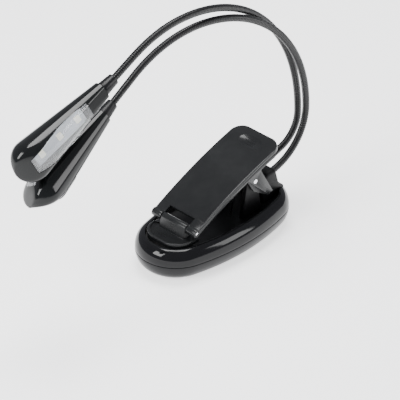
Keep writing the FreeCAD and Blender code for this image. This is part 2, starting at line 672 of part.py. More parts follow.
def make_arm(arm):
    """One gooseneck in two lengths, with the places where it bends kept clear."""
    side = SIDE[arm]

    def own(name):
        return getattr(size, arm + "_" + name)

    gap = float(size.bend_gap)
    ferrule_end = float(size.ferrule_lip)
    barrel = doc.addObject("Part::Cylinder", "Ferrule")
    bind(barrel, Radius=size.ferrule_radius, Height=size.ferrule_length)
    place(barrel, neck_point(-size.ferrule_length, side), ALONG_ROOT)
    lip = doc.addObject("Part::Cylinder", "Lip")
    bind(lip, Radius=size.ferrule_radius, Height=size.ferrule_lip)
    place(lip, neck_point(0, side), ALONG_ROOT)
    through = doc.addObject("Part::Cylinder", "Through")
    bind(through, Radius=size.neck_bore, Height=size.ferrule_length + size.ferrule_lip + 2)
    place(through, neck_point(-size.ferrule_length - 1, side), ALONG_ROOT)
    node(cut(fuse(barrel, lip), through), "neck_%s_ferrule" % arm)

    lean_pivot = neck_point(ferrule_end + gap, side)
    path = Path(lean_pivot, size.root_heading)
    path.run(gap, keep=False)
    path.run(own("root_run") - ferrule_end - gap * 2)
    rear = 90 - math.degrees(gap / float(own("rear_radius")))
    path.bend(own("rear_radius"), rear)
    node(path.hollow_tube(size.neck_radius, size.neck_bore), "neck_%s_lower" % arm)
    node(path.tube(size.wire_radius), "neck_%s_lower_wires" % arm)
    path.stretches = []
    path.bend(own("rear_radius"), 90)
    bend_pivot = Vector(path.spot)

    path.turn = float(own("turn"))
    path.bend(own("top_radius"), 90 + math.degrees(gap / float(own("top_radius"))))
    path.stretches = []
    path.bend(own("top_radius"), own("top_heading"))
    path.bend(own("front_radius"), own("end_heading"))
    path.run(own("end_run") - gap)
    node(path.hollow_tube(size.neck_radius, size.neck_bore), "neck_%s_upper" % arm)
    node(path.tube(size.wire_radius), "neck_%s_upper_wires" % arm)
    path.run(gap, keep=False)
    nod_pivot = Vector(path.spot)
    return Vector(*[float(c) for c in lean_pivot]), bend_pivot, nod_pivot, path


# ---------------------------------------------------------------- lamp heads
# A head is drawn lying along +X: its neck end at 0, its round tip at head_length, its lens on top (+Z)
# and its push button underneath (-Z).

def head_form(inset, start=0):
    """The head's outside, or the same form inset by a wall: a turned teardrop with a flat face and back."""
    tip_radius = size.head_tip_radius - inset
    centre = size.head_length - size.head_tip_radius
    neck_radius = size.head_neck_radius - inset
    reach = math.hypot(float(centre), float(neck_radius))
    # the straight side touches the tip circle at this angle
    touch = math.degrees(math.atan2(float(neck_radius), -float(centre)) - math.acos(float(tip_radius) / reach))
    touch_x = float(centre) + float(tip_radius) * math.cos(math.radians(touch))
    touch_y = float(tip_radius) * math.sin(math.radians(touch))

    turned = doc.addObject("PartDesign::Body", "Turned")
    sketch = new_sketch(turned, "XY_Plane")
    sketch.addGeometry(Part.LineSegment(Vector(0, 0, 0), Vector(0, float(neck_radius), 0)), False)
    sketch.addGeometry(Part.LineSegment(Vector(0, float(neck_radius), 0), Vector(touch_x, touch_y, 0)), False)
    tip = arc((centre, 0), tip_radius, 0, touch)
    sketch.addGeometry(tip, False)
    sketch.addGeometry(Part.LineSegment(tip.StartPoint, Vector(0, 0, 0)), False)
    sketch.addConstraint(Sketcher.Constraint("Coincident", 0, 2, 1, 1))
    sketch.addConstraint(Sketcher.Constraint("Tangent", 1, 2, 2, 2))
    sketch.addConstraint(Sketcher.Constraint("Coincident", 2, 1, 3, 1))
    sketch.addConstraint(Sketcher.Constraint("Coincident", 3, 2, 0, 1))
    hold_point(sketch, 0, 1, (0, 0))
    hold_point(sketch, 0, 2, (0, neck_radius))
    hold_point(sketch, 2, 3, (centre, 0))
    hold(sketch, "Radius", 2, item=tip_radius)
    sketch.addConstraint(Sketcher.Constraint("PointOnObject", 2, 1, -1))
    revolution = turned.newObject("PartDesign::Revolution", "Revolution")
    revolution.Profile = sketch
    revolution.ReferenceAxis = (sketch, ["H_Axis"])
    revolution.Angle = 360
    turned.Tip = revolution

    profile = doc.addObject("PartDesign::Body", "SideView")
    side = new_sketch(profile, "XZ_Plane")
    face = (size.face_run, size.face_wide - inset)
    back = (size.back_run, -(size.back_wide - inset))
    neck_face = (as_size(start), size.face_neck - inset)
    neck_back = (as_size(start), -(size.back_neck - inset))
    end = (size.head_length + size.tip_margin - inset, as_size(0))
    corners = [neck_back, neck_face, face, end, back]
    spots = [Vector(float(x), float(z), 0) for x, z in corners]
    side.addGeometry(Part.LineSegment(spots[0], spots[1]), False)
    side.addGeometry(Part.LineSegment(spots[1], spots[2]), False)
    side.addGeometry(tangent_arc(spots[1], spots[2], spots[3]), False)
    side.addGeometry(tangent_arc(spots[0], spots[4], spots[3]), False)
    side.addGeometry(Part.LineSegment(spots[4], spots[0]), False)
    side.addConstraint(Sketcher.Constraint("Coincident", 0, 2, 1, 1))
    side.addConstraint(Sketcher.Constraint("Coincident", 4, 2, 0, 1))
    ends = {2: near_end(side, 2, spots[2]), 3: near_end(side, 3, spots[4])}
    side.addConstraint(Sketcher.Constraint("Tangent", 1, 2, 2, ends[2]))
    side.addConstraint(Sketcher.Constraint("Tangent", 4, 1, 3, ends[3]))
    side.addConstraint(Sketcher.Constraint("Coincident", 2, 3 - ends[2], 3, 3 - ends[3]))
    hold_point(side, 0, 1, neck_back)
    hold_point(side, 0, 2, neck_face)
    hold_point(side, 1, 2, face)
    hold_point(side, 4, 1, back)
    hold_point(side, 2, 3 - ends[2], end)
    pad(profile, side, size.head_tip_radius * 2 + 2, midplane=True)
    return common(turned, profile)


def tangent_arc(before, corner, end):
    """The arc that leaves corner in line with before-corner and ends at end."""
    along = (corner - before).normalize()
    normal = Vector(-along.y, along.x, 0)
    chord = end - corner
    radius = chord.dot(chord) / (2 * chord.dot(normal))
    centre = corner + normal * radius
    start_angle = math.atan2((corner - centre).y, (corner - centre).x)
    end_angle = math.atan2((end - centre).y, (end - centre).x)
    circle = Part.Circle(centre, Vector(0, 0, 1), abs(radius))
    if radius < 0:
        return Part.ArcOfCircle(circle, end_angle, start_angle)
    return Part.ArcOfCircle(circle, start_angle, end_angle)


def near_end(sketch, edge, spot):
    """1 if an arc starts at spot, 2 if it ends there."""
    return 1 if (sketch.Geometry[edge].StartPoint - spot).Length < 0.01 else 2


def lens_outline(clearance, bottom, top):
    """A barrel-shaped block: straight ends, sides that belly outwards."""
    half = size.lens_half_width + clearance
    start = size.lens_start - clearance
    end = size.lens_end + clearance
    middle = (start + end) / 2
    height = as_size(top) - bottom
    reach = size.lens_side_radius - half
    belly = common(rod(size.lens_side_radius, height, (middle, reach, bottom)),
                   rod(size.lens_side_radius, height, (middle, -reach, bottom)))
    return common(belly, middle_box(start, end, half + 1, bottom, top))


def stadium(centre, length, width, bottom, top):
    """A block with two round ends."""
    radius = as_size(width) / 2
    reach = (as_size(length) - width) / 2
    height = as_size(top) - bottom
    return fuse(box(reach * 2, width, height, (as_size(centre) - reach, -radius, bottom)),
                rod(radius, height, (as_size(centre) - reach, 0, bottom)),
                rod(radius, height, (as_size(centre) + reach, 0, bottom)))


def make_head(arm, nod_pivot):
    """One lamp head and its collar, drawn lying along +X and then put on the end of its neck."""
    pitch = float(getattr(size, arm + "_head_pitch"))
    yaw = float(getattr(size, arm + "_head_yaw"))
    roll = float(getattr(size, arm + "_head_roll"))
    # +X turns to the head's own direction, which points to the front and down
    turn = Rotation(Vector(0, 0, 1), 180 + yaw) * Rotation(Vector(0, 1, 0), -pitch) \
        * Rotation(Vector(1, 0, 0), 180 + roll)
    direction = turn.multVec(Vector(1, 0, 0))
    start = nod_pivot + direction * float(size.bend_gap + size.collar_length)
    big = size.head_tip_radius * 2

    def finish(obj, label):
        if obj.TypeId in ("Part::Box", "Part::Cylinder"):
            obj = group(obj)
        place(obj, tuple(start), turn)
        return node(obj, label if "neck" in label else "head_%s_%s" % (arm, label))

    outside = head_form(0)
    inside = common(head_form(size.head_wall, size.head_wall),
                    middle_box(size.head_wall, size.head_length, big, -big, big))
    shell = cut(outside, inside)
    neck_hole = rod(size.spigot_radius + size.running_fit, size.head_wall + 1, (-0.5, 0, 0), "x")
    window = lens_outline(size.lens_fit, size.led_board_level + 3, big)
    front_half = middle_box(-1, size.head_length + 1, big, 0, big)
    finish(cut(common(shell, front_half), neck_hole, window), "front_shell")
    button_hole = stadium(size.button_centre, size.button_length + size.button_fit * 2,
                          size.button_width + size.button_fit * 2, -big, -2)
    back_half = middle_box(-1, size.head_length + 1, big, -big, 0)
    finish(cut(common(shell, back_half), neck_hole, button_hole), "back_shell")
    finish(common(cut(outside, head_form(size.lens_thickness)),
                  lens_outline(0, size.led_board_level + 3, big)), "lens")

    level = size.led_board_level
    board_top = level + size.led_board_thickness
    finish(middle_box(size.led_board_start, size.led_board_end, size.led_board_half, level, board_top), "led_board")
    half = size.led_size / 2
    spots = [size.button_centre - 8 + size.led_pitch * step for step in (-1, 0, 1)]
    finish(group(*[middle_box(x - half, x + half, half, board_top, board_top + size.led_height) for x in spots]),
           "leds")
    tray_low = board_top + 0.1
    tray = middle_box(size.led_board_start + 2, size.led_board_end, size.led_board_half, tray_low,
                      tray_low + size.tray_thickness)
    hole = size.tray_hole_half
    finish(cut(tray, *[middle_box(x - hole, x + hole, hole, level, level + 8) for x in spots]), "reflector")
    switch_low = level - size.switch_height
    half = size.switch_size / 2
    finish(middle_box(size.button_centre - half, size.button_centre + half, half, switch_low, level - 0.02),
           "switch")

    play = size.gap / 3
    collar = doc.addObject("Part::Cone", "Collar")
    bind(collar, Radius1=size.collar_mouth_radius, Radius2=size.collar_base_radius, Height=size.collar_length)
    place(collar, (-size.collar_length - play, 0, 0), TURN["x"])
    spigot = rod(size.spigot_radius, size.spigot_length, (-play, 0, 0), "x")
    bore = rod(size.neck_radius + size.gap / 3, size.collar_length + size.spigot_length + 2,
               (-size.collar_length - 1, 0, 0), "x")
    finish(cut(fuse(collar, spigot), bore), "neck_%s_collar" % arm)

    face_slope = float(size.back_wide - size.back_neck) / float(size.back_run)
    face_level = -(size.back_neck + size.button_centre * face_slope)
    cap = stadium(size.button_centre, size.button_length, size.button_width,
                  face_level - size.button_proud, face_level + size.head_wall)
    stem_top = switch_low - size.button_travel - 0.1
    stem = rod(1.5, stem_top - face_level, (size.button_centre, 0, face_level))
    button = fuse(cap, stem)
    finish(button, "button")
    return start, turn


make_lower_shell()
make_upper_shell()
make_door()
make_feet()
make_screws()
make_power()
make_electronics()
make_pins()
make_lever()
make_spring()
make_jaw()
make_base_pad()
joints = {}
for arm in ("a", "b"):
    lean, bend, nod, path = make_arm(arm)
    head_start, head_turn = make_head(arm, nod)
    joints[arm] = (lean, bend, nod, head_start, head_turn)

doc.recompute()
for obj in doc.Objects:
    if "Invalid" in obj.State or "Error" in obj.State:
        raise RuntimeError("%s (%s) failed: %s" % (obj.Name, obj.Label, obj.State))
os.makedirs("parts", exist_ok=True)
for part in parts:
    shape = part.Shape
    if shape.isNull() or not shape.isValid() or not shape.Solids:
        raise RuntimeError("%s has no valid solid" % part.Label)
    shape.exportStep("parts/%s.step" % part.Label)
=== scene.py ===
import json
import logging
import math
from dataclasses import dataclass, field
from enum import Enum
from typing import Callable, ClassVar, Iterable, Sequence

import bmesh
import bpy
from mathutils import Matrix, Vector


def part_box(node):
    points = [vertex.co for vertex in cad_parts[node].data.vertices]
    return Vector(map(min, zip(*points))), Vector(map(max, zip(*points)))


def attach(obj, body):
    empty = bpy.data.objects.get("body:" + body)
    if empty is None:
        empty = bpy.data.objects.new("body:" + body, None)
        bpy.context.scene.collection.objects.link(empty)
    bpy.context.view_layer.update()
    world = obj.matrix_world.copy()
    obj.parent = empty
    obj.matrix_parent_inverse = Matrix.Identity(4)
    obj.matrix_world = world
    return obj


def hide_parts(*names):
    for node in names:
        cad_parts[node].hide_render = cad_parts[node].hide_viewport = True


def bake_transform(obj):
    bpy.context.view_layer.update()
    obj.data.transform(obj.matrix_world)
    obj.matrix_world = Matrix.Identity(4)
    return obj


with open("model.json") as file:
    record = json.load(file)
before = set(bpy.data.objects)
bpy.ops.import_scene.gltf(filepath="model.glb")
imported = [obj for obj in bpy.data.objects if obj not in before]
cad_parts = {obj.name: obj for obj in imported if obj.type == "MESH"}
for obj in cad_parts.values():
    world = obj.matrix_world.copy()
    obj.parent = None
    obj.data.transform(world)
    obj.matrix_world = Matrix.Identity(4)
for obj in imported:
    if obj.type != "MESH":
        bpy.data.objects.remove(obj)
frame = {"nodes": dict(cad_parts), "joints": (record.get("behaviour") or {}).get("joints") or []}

# Looks for a clip-on reading lamp. Sizes in the classes are millimetres; meshes are built in metres.

MM = 0.001
MERGE_DISTANCE = 0.000002
SHARP_ANGLE = math.radians(28)
BEVEL_FROM_ANGLE = math.radians(35)
BEVELLED_SHARP_ANGLE = math.radians(40)
FLAT_ANGLE = math.radians(1.0)
LOG = logging.getLogger("reading_lamp")
Pair = tuple[float, float]
Rgb = tuple[float, float, float]


# ---------------------------------------------------------------- shared shader groups

def connect(tree: bpy.types.NodeTree, *wires: tuple[bpy.types.Node, object, bpy.types.Node, object]) -> None:
    """Links nodes: each wire names the node and socket it leaves, then the node and socket it enters."""
    for source, output, target, entry in wires:
        tree.links.new(source.outputs[output], target.inputs[entry])


def product(tree: bpy.types.NodeTree, clamp: bool = False) -> bpy.types.Node:
    """Adds a node that multiplies two numbers."""
    node = tree.nodes.new("ShaderNodeMath")
    node.operation = "MULTIPLY"
    node.use_clamp = clamp
    return node


class ShaderGroups:
    """Effects that several finishes share, each a node group that is built once."""

    built: ClassVar[dict[str, bpy.types.NodeTree]] = {}
    coarse_share: ClassVar[float] = 0.03
    smudge_span: ClassVar[Pair] = (0.42, 0.68)

    @classmethod
    def new(cls, name: str, inputs: Sequence[tuple[str, str, object]],
            outputs: Sequence[tuple[str, str]]) -> tuple[bpy.types.NodeTree, object, object]:
        """Starts an empty group.

        Args:
            name: The group's name.
            inputs: Name, socket type and default of each input.
            outputs: Name and socket type of each output.

        Returns:
            The tree, its input node and its output node.
        """
        tree = bpy.data.node_groups.new(name, "ShaderNodeTree")
        for label, kind, default in inputs:
            socket = tree.interface.new_socket(label, in_out="INPUT", socket_type=kind)
            socket.default_value = default
        for label, kind in outputs:
            tree.interface.new_socket(label, in_out="OUTPUT", socket_type=kind)
        cls.built[name] = tree
        return tree, tree.nodes.new("NodeGroupInput"), tree.nodes.new("NodeGroupOutput")

    @classmethod
    def noise(cls, tree: bpy.types.NodeTree, scale: object, detail: float) -> bpy.types.Node:
        """A noise texture on object coordinates.

        Args:
            tree: The tree that gets the nodes.
            scale: The socket that gives the noise's scale.
            detail: The noise's detail.

        Returns:
            The noise node.
        """
        place = tree.nodes.new("ShaderNodeTexCoord")
        texture = tree.nodes.new("ShaderNodeTexNoise")
        texture.inputs["Detail"].default_value = detail
        tree.links.new(place.outputs["Object"], texture.inputs["Vector"])
        tree.links.new(scale, texture.inputs["Scale"])
        return texture

    @classmethod
    def grain(cls) -> bpy.types.NodeTree:
        """Fine moulded grain, as a height."""
        if "MouldGrain" in cls.built:
            return cls.built["MouldGrain"]
        tree, given, result = cls.new("MouldGrain", [("Scale", "NodeSocketFloat", 2500.0),
                                                     ("Waviness", "NodeSocketFloat", 0.3)],
                                      [("Height", "NodeSocketFloat")])
        fine = cls.noise(tree, given.outputs["Scale"], 3.0)
        coarse_scale = product(tree)
        coarse_scale.inputs[1].default_value = cls.coarse_share
        tree.links.new(given.outputs["Scale"], coarse_scale.inputs[0])
        coarse = cls.noise(tree, coarse_scale.outputs[0], 1.0)
        mix = tree.nodes.new("ShaderNodeMix")
        connect(tree, (given, "Waviness", mix, "Factor"), (fine, "Fac", mix, "A"), (coarse, "Fac", mix, "B"),
                (mix, "Result", result, "Height"))
        return tree

    @classmethod
    def smudge(cls) -> bpy.types.NodeTree:
        """Roughness that drifts between two values, as on a handled surface."""
        if "Smudge" in cls.built:
            return cls.built["Smudge"]
        tree, given, result = cls.new("Smudge", [("Scale", "NodeSocketFloat", 60.0),
                                                 ("Clean", "NodeSocketFloat", 0.1),
                                                 ("Smudged", "NodeSocketFloat", 0.2)],
                                      [("Roughness", "NodeSocketFloat")])
        texture = cls.noise(tree, given.outputs["Scale"], 6.0)
        spread = tree.nodes.new("ShaderNodeMapRange")
        for label, value in zip(("From Min", "From Max"), cls.smudge_span):
            spread.inputs[label].default_value = value
        connect(tree, (texture, "Fac", spread, "Value"), (given, "Clean", spread, "To Min"),
                (given, "Smudged", spread, "To Max"), (spread, "Result", result, "Roughness"))
        return tree

    @classmethod
    def dust(cls) -> bpy.types.NodeTree:
        """A colour with a trace of dust on the surfaces that face up."""
        if "SettledDust" in cls.built:
            return cls.built["SettledDust"]
        tree, given, result = cls.new("SettledDust", [("Colour", "NodeSocketColor", (0.02, 0.02, 0.02, 1)),
                                                      ("Dust", "NodeSocketColor", (0.3, 0.3, 0.3, 1)),
                                                      ("Amount", "NodeSocketFloat", 0.03),
                                                      ("Scale", "NodeSocketFloat", 180.0)],
                                      [("Colour", "NodeSocketColor")])
        texture = cls.noise(tree, given.outputs["Scale"], 8.0)
        surface = tree.nodes.new("ShaderNodeNewGeometry")
        split = tree.nodes.new("ShaderNodeSeparateXYZ")
        upward, amount = product(tree, clamp=True), product(tree, clamp=True)
        mix = tree.nodes.new("ShaderNodeMix")
        mix.data_type = "RGBA"
        connect(tree, (surface, "Normal", split, 0), (split, "Z", upward, 0), (texture, "Fac", upward, 1),
                (upward, 0, amount, 0), (given, "Amount", amount, 1), (amount, 0, mix, "Factor"),
                (given, "Colour", mix, "A"), (given, "Dust", mix, "B"), (mix, "Result", result, "Colour"))
        return tree


# ---------------------------------------------------------------- finishes

@dataclass(frozen=True)
class Finish:
    """A moulded or metal surface: colour with a little dust, smudged roughness and a fine grain."""

    name: str
    slot: str
    colour: Rgb
    clean: float
    smudged: float
    grain_scale: float = 2500.0
    grain_height: float = 0.00001
    dust: float = 0.02
    metallic: float = 0.0
    specular: float = 0.5
    transmission: float = 0.0
    refraction: float = 1.5
    glow: float = 0.0
    made: ClassVar[dict[str, bpy.types.Material]] = {}

    def material(self) -> bpy.types.Material:
        """Builds the material the first time, and then gives the same one."""
        if self.name in self.made:
            return self.made[self.name]
        material = bpy.data.materials.new(self.name)
        material.use_nodes = True
        tree = material.node_tree
        shader = tree.nodes["Principled BSDF"]
        self.set_constants(shader)
        dust = self.group(tree, ShaderGroups.dust(), Amount=self.dust, Colour=(*self.colour, 1.0))
        tree.links.new(dust.outputs["Colour"], shader.inputs["Base Color"])
        smudge = self.group(tree, ShaderGroups.smudge(), Clean=self.clean, Smudged=self.smudged)
        tree.links.new(smudge.outputs["Roughness"], shader.inputs["Roughness"])
        grain = self.group(tree, ShaderGroups.grain(), Scale=self.grain_scale)
        bump = tree.nodes.new("ShaderNodeBump")
        bump.inputs["Distance"].default_value = self.grain_height
        tree.links.new(grain.outputs["Height"], bump.inputs["Height"])
        tree.links.new(bump.outputs["Normal"], shader.inputs["Normal"])
        self.made[self.name] = material
        return material

    def set_constants(self, shader: bpy.types.Node) -> None:
        """Puts the values that are the same all over on the shader's own sockets."""
        shader.inputs["Metallic"].default_value = self.metallic
        shader.inputs["Specular IOR Level"].default_value = self.specular
        shader.inputs["Transmission Weight"].default_value = self.transmission
        shader.inputs["IOR"].default_value = self.refraction
        if self.glow:
            shader.inputs["Emission Color"].default_value = (*self.colour, 1.0)
            shader.inputs["Emission Strength"].default_value = self.glow

    @staticmethod
    def group(tree: bpy.types.NodeTree, shared: bpy.types.NodeTree, **values: object) -> bpy.types.Node:
        """Places a shared group in a material with its own values."""
        node = tree.nodes.new("ShaderNodeGroup")
        node.node_tree = shared
        for label, value in values.items():
            node.inputs[label].default_value = value
        return node

    def dress(self, piece: bpy.types.Object) -> bpy.types.Object:
        """Gives a piece, or a CAD node, this finish alone."""
        if piece.material_slots:
            for holder in piece.material_slots:
                holder.material = self.material()
        else:
            piece.data.materials.append(self.material())
        return piece


GLOSS_BLACK = Finish("gloss_black_casing", "casing_gloss", (0.0035, 0.0035, 0.0042), 0.06, 0.12,
                     grain_scale=500.0, grain_height=0.000004, dust=0.008, specular=0.24)
HEAD_BLACK = Finish("gloss_black_head", "casing_gloss", (0.0042, 0.0048, 0.005), 0.07, 0.14,
                    grain_scale=500.0, grain_height=0.000004, dust=0.008, specular=0.26)
RECESS_BLACK = Finish("satin_black_frame", "casing_satin", (0.003, 0.003, 0.0034), 0.42, 0.55, dust=0.01,
                      specular=0.16)
LEVER_GREY = Finish("satin_lever", "lever_plastic", (0.009, 0.0095, 0.01), 0.19, 0.27,
                    grain_scale=3500.0, grain_height=0.00001, dust=0.02, specular=0.24)
JAW_BLACK = Finish("satin_jaw", "casing_satin", (0.006, 0.0065, 0.007), 0.26, 0.36, dust=0.03, specular=0.24)
COLLAR_BLACK = Finish("satin_collar", "casing_satin", (0.005, 0.005, 0.0058), 0.28, 0.38, dust=0.01,
                      specular=0.2)
BUTTON_BLACK = Finish("button_black", "casing_satin", (0.0045, 0.005, 0.0052), 0.12, 0.2, dust=0.01,
                      specular=0.26)
NECK_BLACK = Finish("ribbed_neck_enamel", "neck_metal", (0.0035, 0.0035, 0.004), 0.26, 0.36,
                    grain_height=0.000003, dust=0.01, specular=0.3)
MATTE_BLACK = Finish("matte_black_casing", "casing_matte", (0.013, 0.013, 0.014), 0.5, 0.62,
                     grain_height=0.00003, dust=0.03)
RUBBER_BLACK = Finish("soft_rubber_black", "soft_rubber", (0.012, 0.012, 0.012), 0.65, 0.8,
                      grain_scale=1800.0, grain_height=0.00004, dust=0.06)
PIN_STEEL = Finish("turned_pin_steel", "pin_steel", (0.78, 0.78, 0.8), 0.16, 0.28, metallic=1.0, dust=0.0)
SPRING_STEEL = Finish("drawn_spring_steel", "spring_steel", (0.42, 0.42, 0.44), 0.22, 0.36, metallic=1.0,
                      dust=0.0)
CONTACT_METAL = Finish("plated_contact", "contact_nickel", (0.7, 0.69, 0.66), 0.2, 0.32, metallic=1.0,
                       dust=0.0)
CELL_SLEEVE = Finish("cell_sleeve_film", "cell_sleeve", (0.2, 0.22, 0.26), 0.2, 0.3, dust=0.02)
BOARD_GREEN = Finish("circuit_board_green", "board", (0.02, 0.12, 0.05), 0.3, 0.45, dust=0.02)
BOARD_WHITE = Finish("circuit_board_white", "board_white", (0.8, 0.82, 0.84), 0.35, 0.5, dust=0.02)
TRAY_WHITE = Finish("reflector_tray_white", "reflector_white", (0.82, 0.84, 0.88), 0.22, 0.34, dust=0.0)
LENS_CLEAR = Finish("clear_lens", "lens_clear", (0.93, 0.95, 0.97), 0.05, 0.1, grain_scale=900.0,
                    grain_height=0.000003, dust=0.0, transmission=0.92, refraction=1.49)
LED_YELLOW = Finish("led_emitter_yellow", "led_emitter", (1.0, 0.96, 0.8), 0.3, 0.4, dust=0.0, glow=0.6)
WIRE_RED = Finish("wire_jacket", "wire_copper", (0.25, 0.02, 0.02), 0.4, 0.5)
INLET_BLACK = Finish("inlet_black", "inlet_plastic", (0.01, 0.01, 0.01), 0.4, 0.5)


# ---------------------------------------------------------------- mesh helpers

class Shade(Enum):
    """How a piece's faces are shaded."""

    FLAT = 0
    SMOOTH = 1
    BY_ANGLE = 2


def new_piece(name: str, points: Iterable[Vector], faces: Iterable[Sequence[int]], finish: Finish,
              shade: Shade = Shade.SMOOTH) -> bpy.types.Object:
    """Makes a mesh object at the origin with its faces pointing outwards.

    Args:
        name: The piece's name.
        points: Its corners, in millimetres.
        faces: The corners of each face.
        finish: What it is made of.
        shade: How it is shaded.

    Returns:
        The new object, linked to the scene.
    """
    mesh = bpy.data.meshes.new(name)
    mesh.from_pydata([Vector(p) * MM for p in points], [], [tuple(f) for f in faces])
    tidy_mesh(mesh)
    return add_object(name, mesh, finish, shade)


def tidy_mesh(mesh: bpy.types.Mesh, merge: float = MERGE_DISTANCE) -> None:
    """Merges doubled corners and turns every face outwards."""
    work = bmesh.new()
    work.from_mesh(mesh)
    bmesh.ops.remove_doubles(work, verts=work.verts, dist=merge)
    bmesh.ops.dissolve_degenerate(work, edges=work.edges, dist=merge)
    bmesh.ops.recalc_face_normals(work, faces=work.faces)
    work.to_mesh(mesh)
    work.free()


def add_object(name: str, mesh: bpy.types.Mesh, finish: Finish, shade: Shade) -> bpy.types.Object:
    """Links a mesh as a dressed object."""
    piece = bpy.data.objects.new(name, mesh)
    bpy.context.scene.collection.objects.link(piece)
    finish.dress(piece)
    mesh.polygons.foreach_set("use_smooth", [shade is not Shade.FLAT] * len(mesh.polygons))
    if shade is Shade.BY_ANGLE:
        mesh.set_sharp_from_angle(angle=SHARP_ANGLE)
    return piece


def loft(rings: Sequence[Sequence[Vector]], cap_start: bool = True, cap_end: bool = True,
         closed: bool = True) -> tuple[list[Vector], list[tuple[int, ...]]]:
    """Joins rings of equal length into a skin.

    Args:
        rings: The rings in order, each the same number of points.
        cap_start: Whether the first ring is filled.
        cap_end: Whether the last ring is filled.
        closed: Whether each ring runs back to its first point.

    Returns:
        The points and the faces.
    """
    size = len(rings[0])
    points = [p for ring in rings for p in ring]
    spans = size if closed else size - 1
    faces: list[tuple[int, ...]] = []
    for row in range(len(rings) - 1):
        for step in range(spans):
            after = (step + 1) % size
            faces.append((row * size + step, row * size + after,
                          (row + 1) * size + after, (row + 1) * size + step))
    if cap_start:
        faces.append(tuple(range(size - 1, -1, -1)))
    if cap_end:
        faces.append(tuple(range((len(rings) - 1) * size, len(rings) * size)))
    return points, faces


def slab(upper: Sequence[Sequence[Vector]], lower: Sequence[Sequence[Vector]]
         ) -> tuple[list[Vector], list[tuple[int, ...]]]:
    """A closed sheet between two grids of points of the same size.

    Args:
        upper: The upper grid, column by column.
        lower: The lower grid, in the same order.

    Returns:
        The points and the faces.
    """
    columns, rows = len(upper), len(upper[0])
    points = [p for column in upper for p in column] + [p for column in lower for p in column]
    under = columns * rows
    faces: list[tuple[int, ...]] = []
    for column in range(columns - 1):
        for row in range(rows - 1):
            a, b = column * rows + row, (column + 1) * rows + row
            faces += [(a, a + 1, b + 1, b), (a + under, b + under, b + 1 + under, a + 1 + under)]
    rim = [row for row in range(rows)] + [column * rows + rows - 1 for column in range(1, columns)]
    rim += [(columns - 1) * rows + row for row in range(rows - 2, -1, -1)]
    rim += [column * rows for column in range(columns - 2, 0, -1)]
    for a, b in zip(rim, rim[1:] + rim[:1]):
        faces.append((a, b, b + under, a + under))
    return points, faces


def finished_mesh(piece: bpy.types.Object) -> bpy.types.Object:
    """Turns a piece's modifiers into plain mesh and removes them."""
    bpy.context.view_layer.update()
    seen = piece.evaluated_get(bpy.context.evaluated_depsgraph_get())
    mesh = bpy.data.meshes.new_from_object(seen)
    mesh.name = piece.name
    piece.modifiers.clear()
    piece.data = mesh
    return piece


def carve(piece: bpy.types.Object, cutter: bpy.types.Object) -> bpy.types.Object:
    """Cuts one closed mesh out of another and throws the cutter away."""
    modifier = piece.modifiers.new("Carve", "BOOLEAN")
    modifier.operation = "DIFFERENCE"
    modifier.solver = "EXACT"
    modifier.object = cutter
    finished_mesh(piece)
    bpy.data.objects.remove(cutter)
    return piece


def soften(piece: bpy.types.Object, width: float, segments: int = 2) -> bpy.types.Object:
    """Rounds a piece's sharp edges by a width in millimetres."""
    bevel = piece.modifiers.new("Soften", "BEVEL")
    bevel.width = width * MM
    bevel.segments = segments
    bevel.limit_method = "ANGLE"
    bevel.angle_limit = BEVEL_FROM_ANGLE
    bevel.use_clamp_overlap = True
    bevel.harden_normals = False
    finished_mesh(piece)
    piece.data.polygons.foreach_set("use_smooth", [True] * len(piece.data.polygons))
    piece.data.set_sharp_from_angle(angle=BEVELLED_SHARP_ANGLE)
    return piece


def copy_of(node: str, name: str, finish: Finish) -> bpy.types.Object:
    """A merged copy of a CAD node's mesh, to be rounded or carved."""
    mesh = frame["nodes"][node].data.copy()
    mesh.materials.clear()
    tidy_mesh(mesh)
    work = bmesh.new()
    work.from_mesh(mesh)
    bmesh.ops.dissolve_limit(work, angle_limit=FLAT_ANGLE, verts=work.verts, edges=work.edges)
    work.to_mesh(mesh)
    work.free()
    mesh.name = name
    return add_object(name, mesh, finish, Shade.BY_ANGLE)


def settle(piece: bpy.types.Object, body: str, finish: Finish, *nodes: str) -> bpy.types.Object:
    """Puts a finished piece on its body, in place of the CAD nodes named."""
    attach(piece, body)
    if nodes:
        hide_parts(*nodes)
    LOG.info("%s rides on %s, %d faces", piece.name, body, len(piece.data.polygons))
    return piece


def joint(name: str) -> dict:
    """The joint of that name from the frame."""
    return next(item for item in frame["joints"] if item["name"] == name)


def pivot(name: str) -> Vector:
    """A joint's place, in millimetres."""
    return Vector(joint(name)["pos_m"]) / MM


# ---------------------------------------------------------------- base

@dataclass(frozen=True)
class Oval:
    """The base's plan: round ends joined by long flat arcs."""

    length: float = 109.0
    width: float = 56.0
    end_radius: float = 24.0
    end_steps: int = 44
    side_steps: int = 26

    def ring(self, inset: float, height: float) -> list[Vector]:
        """The outline moved inwards, at a height.

        Args:
            inset: How far it moves inwards.
            height: Its level.

        Returns:
            The points, anticlockwise from above.
        """
        reach = self.length / 2 - self.end_radius
        half = self.width / 2
        side_radius = (reach ** 2 + half ** 2 - self.end_radius ** 2) / (2 * (half - self.end_radius))
        low = side_radius - half
        turn = math.atan2(low, reach)
        arcs = [((reach, 0.0), self.end_radius, -turn, turn, self.end_steps),
                ((0.0, -low), side_radius, turn, math.pi - turn, self.side_steps),
                ((-reach, 0.0), self.end_radius, math.pi - turn, math.pi + turn, self.end_steps),
                ((0.0, low), side_radius, math.pi + turn, math.tau - turn, self.side_steps)]
        points = []
        for (x, y), radius, start, end, steps in arcs:
            for step in range(steps):
                angle = start + (end - start) * step / steps
                points.append(Vector((x + (radius - inset) * math.cos(angle),
                                      y + (radius - inset) * math.sin(angle), height)))
        return points


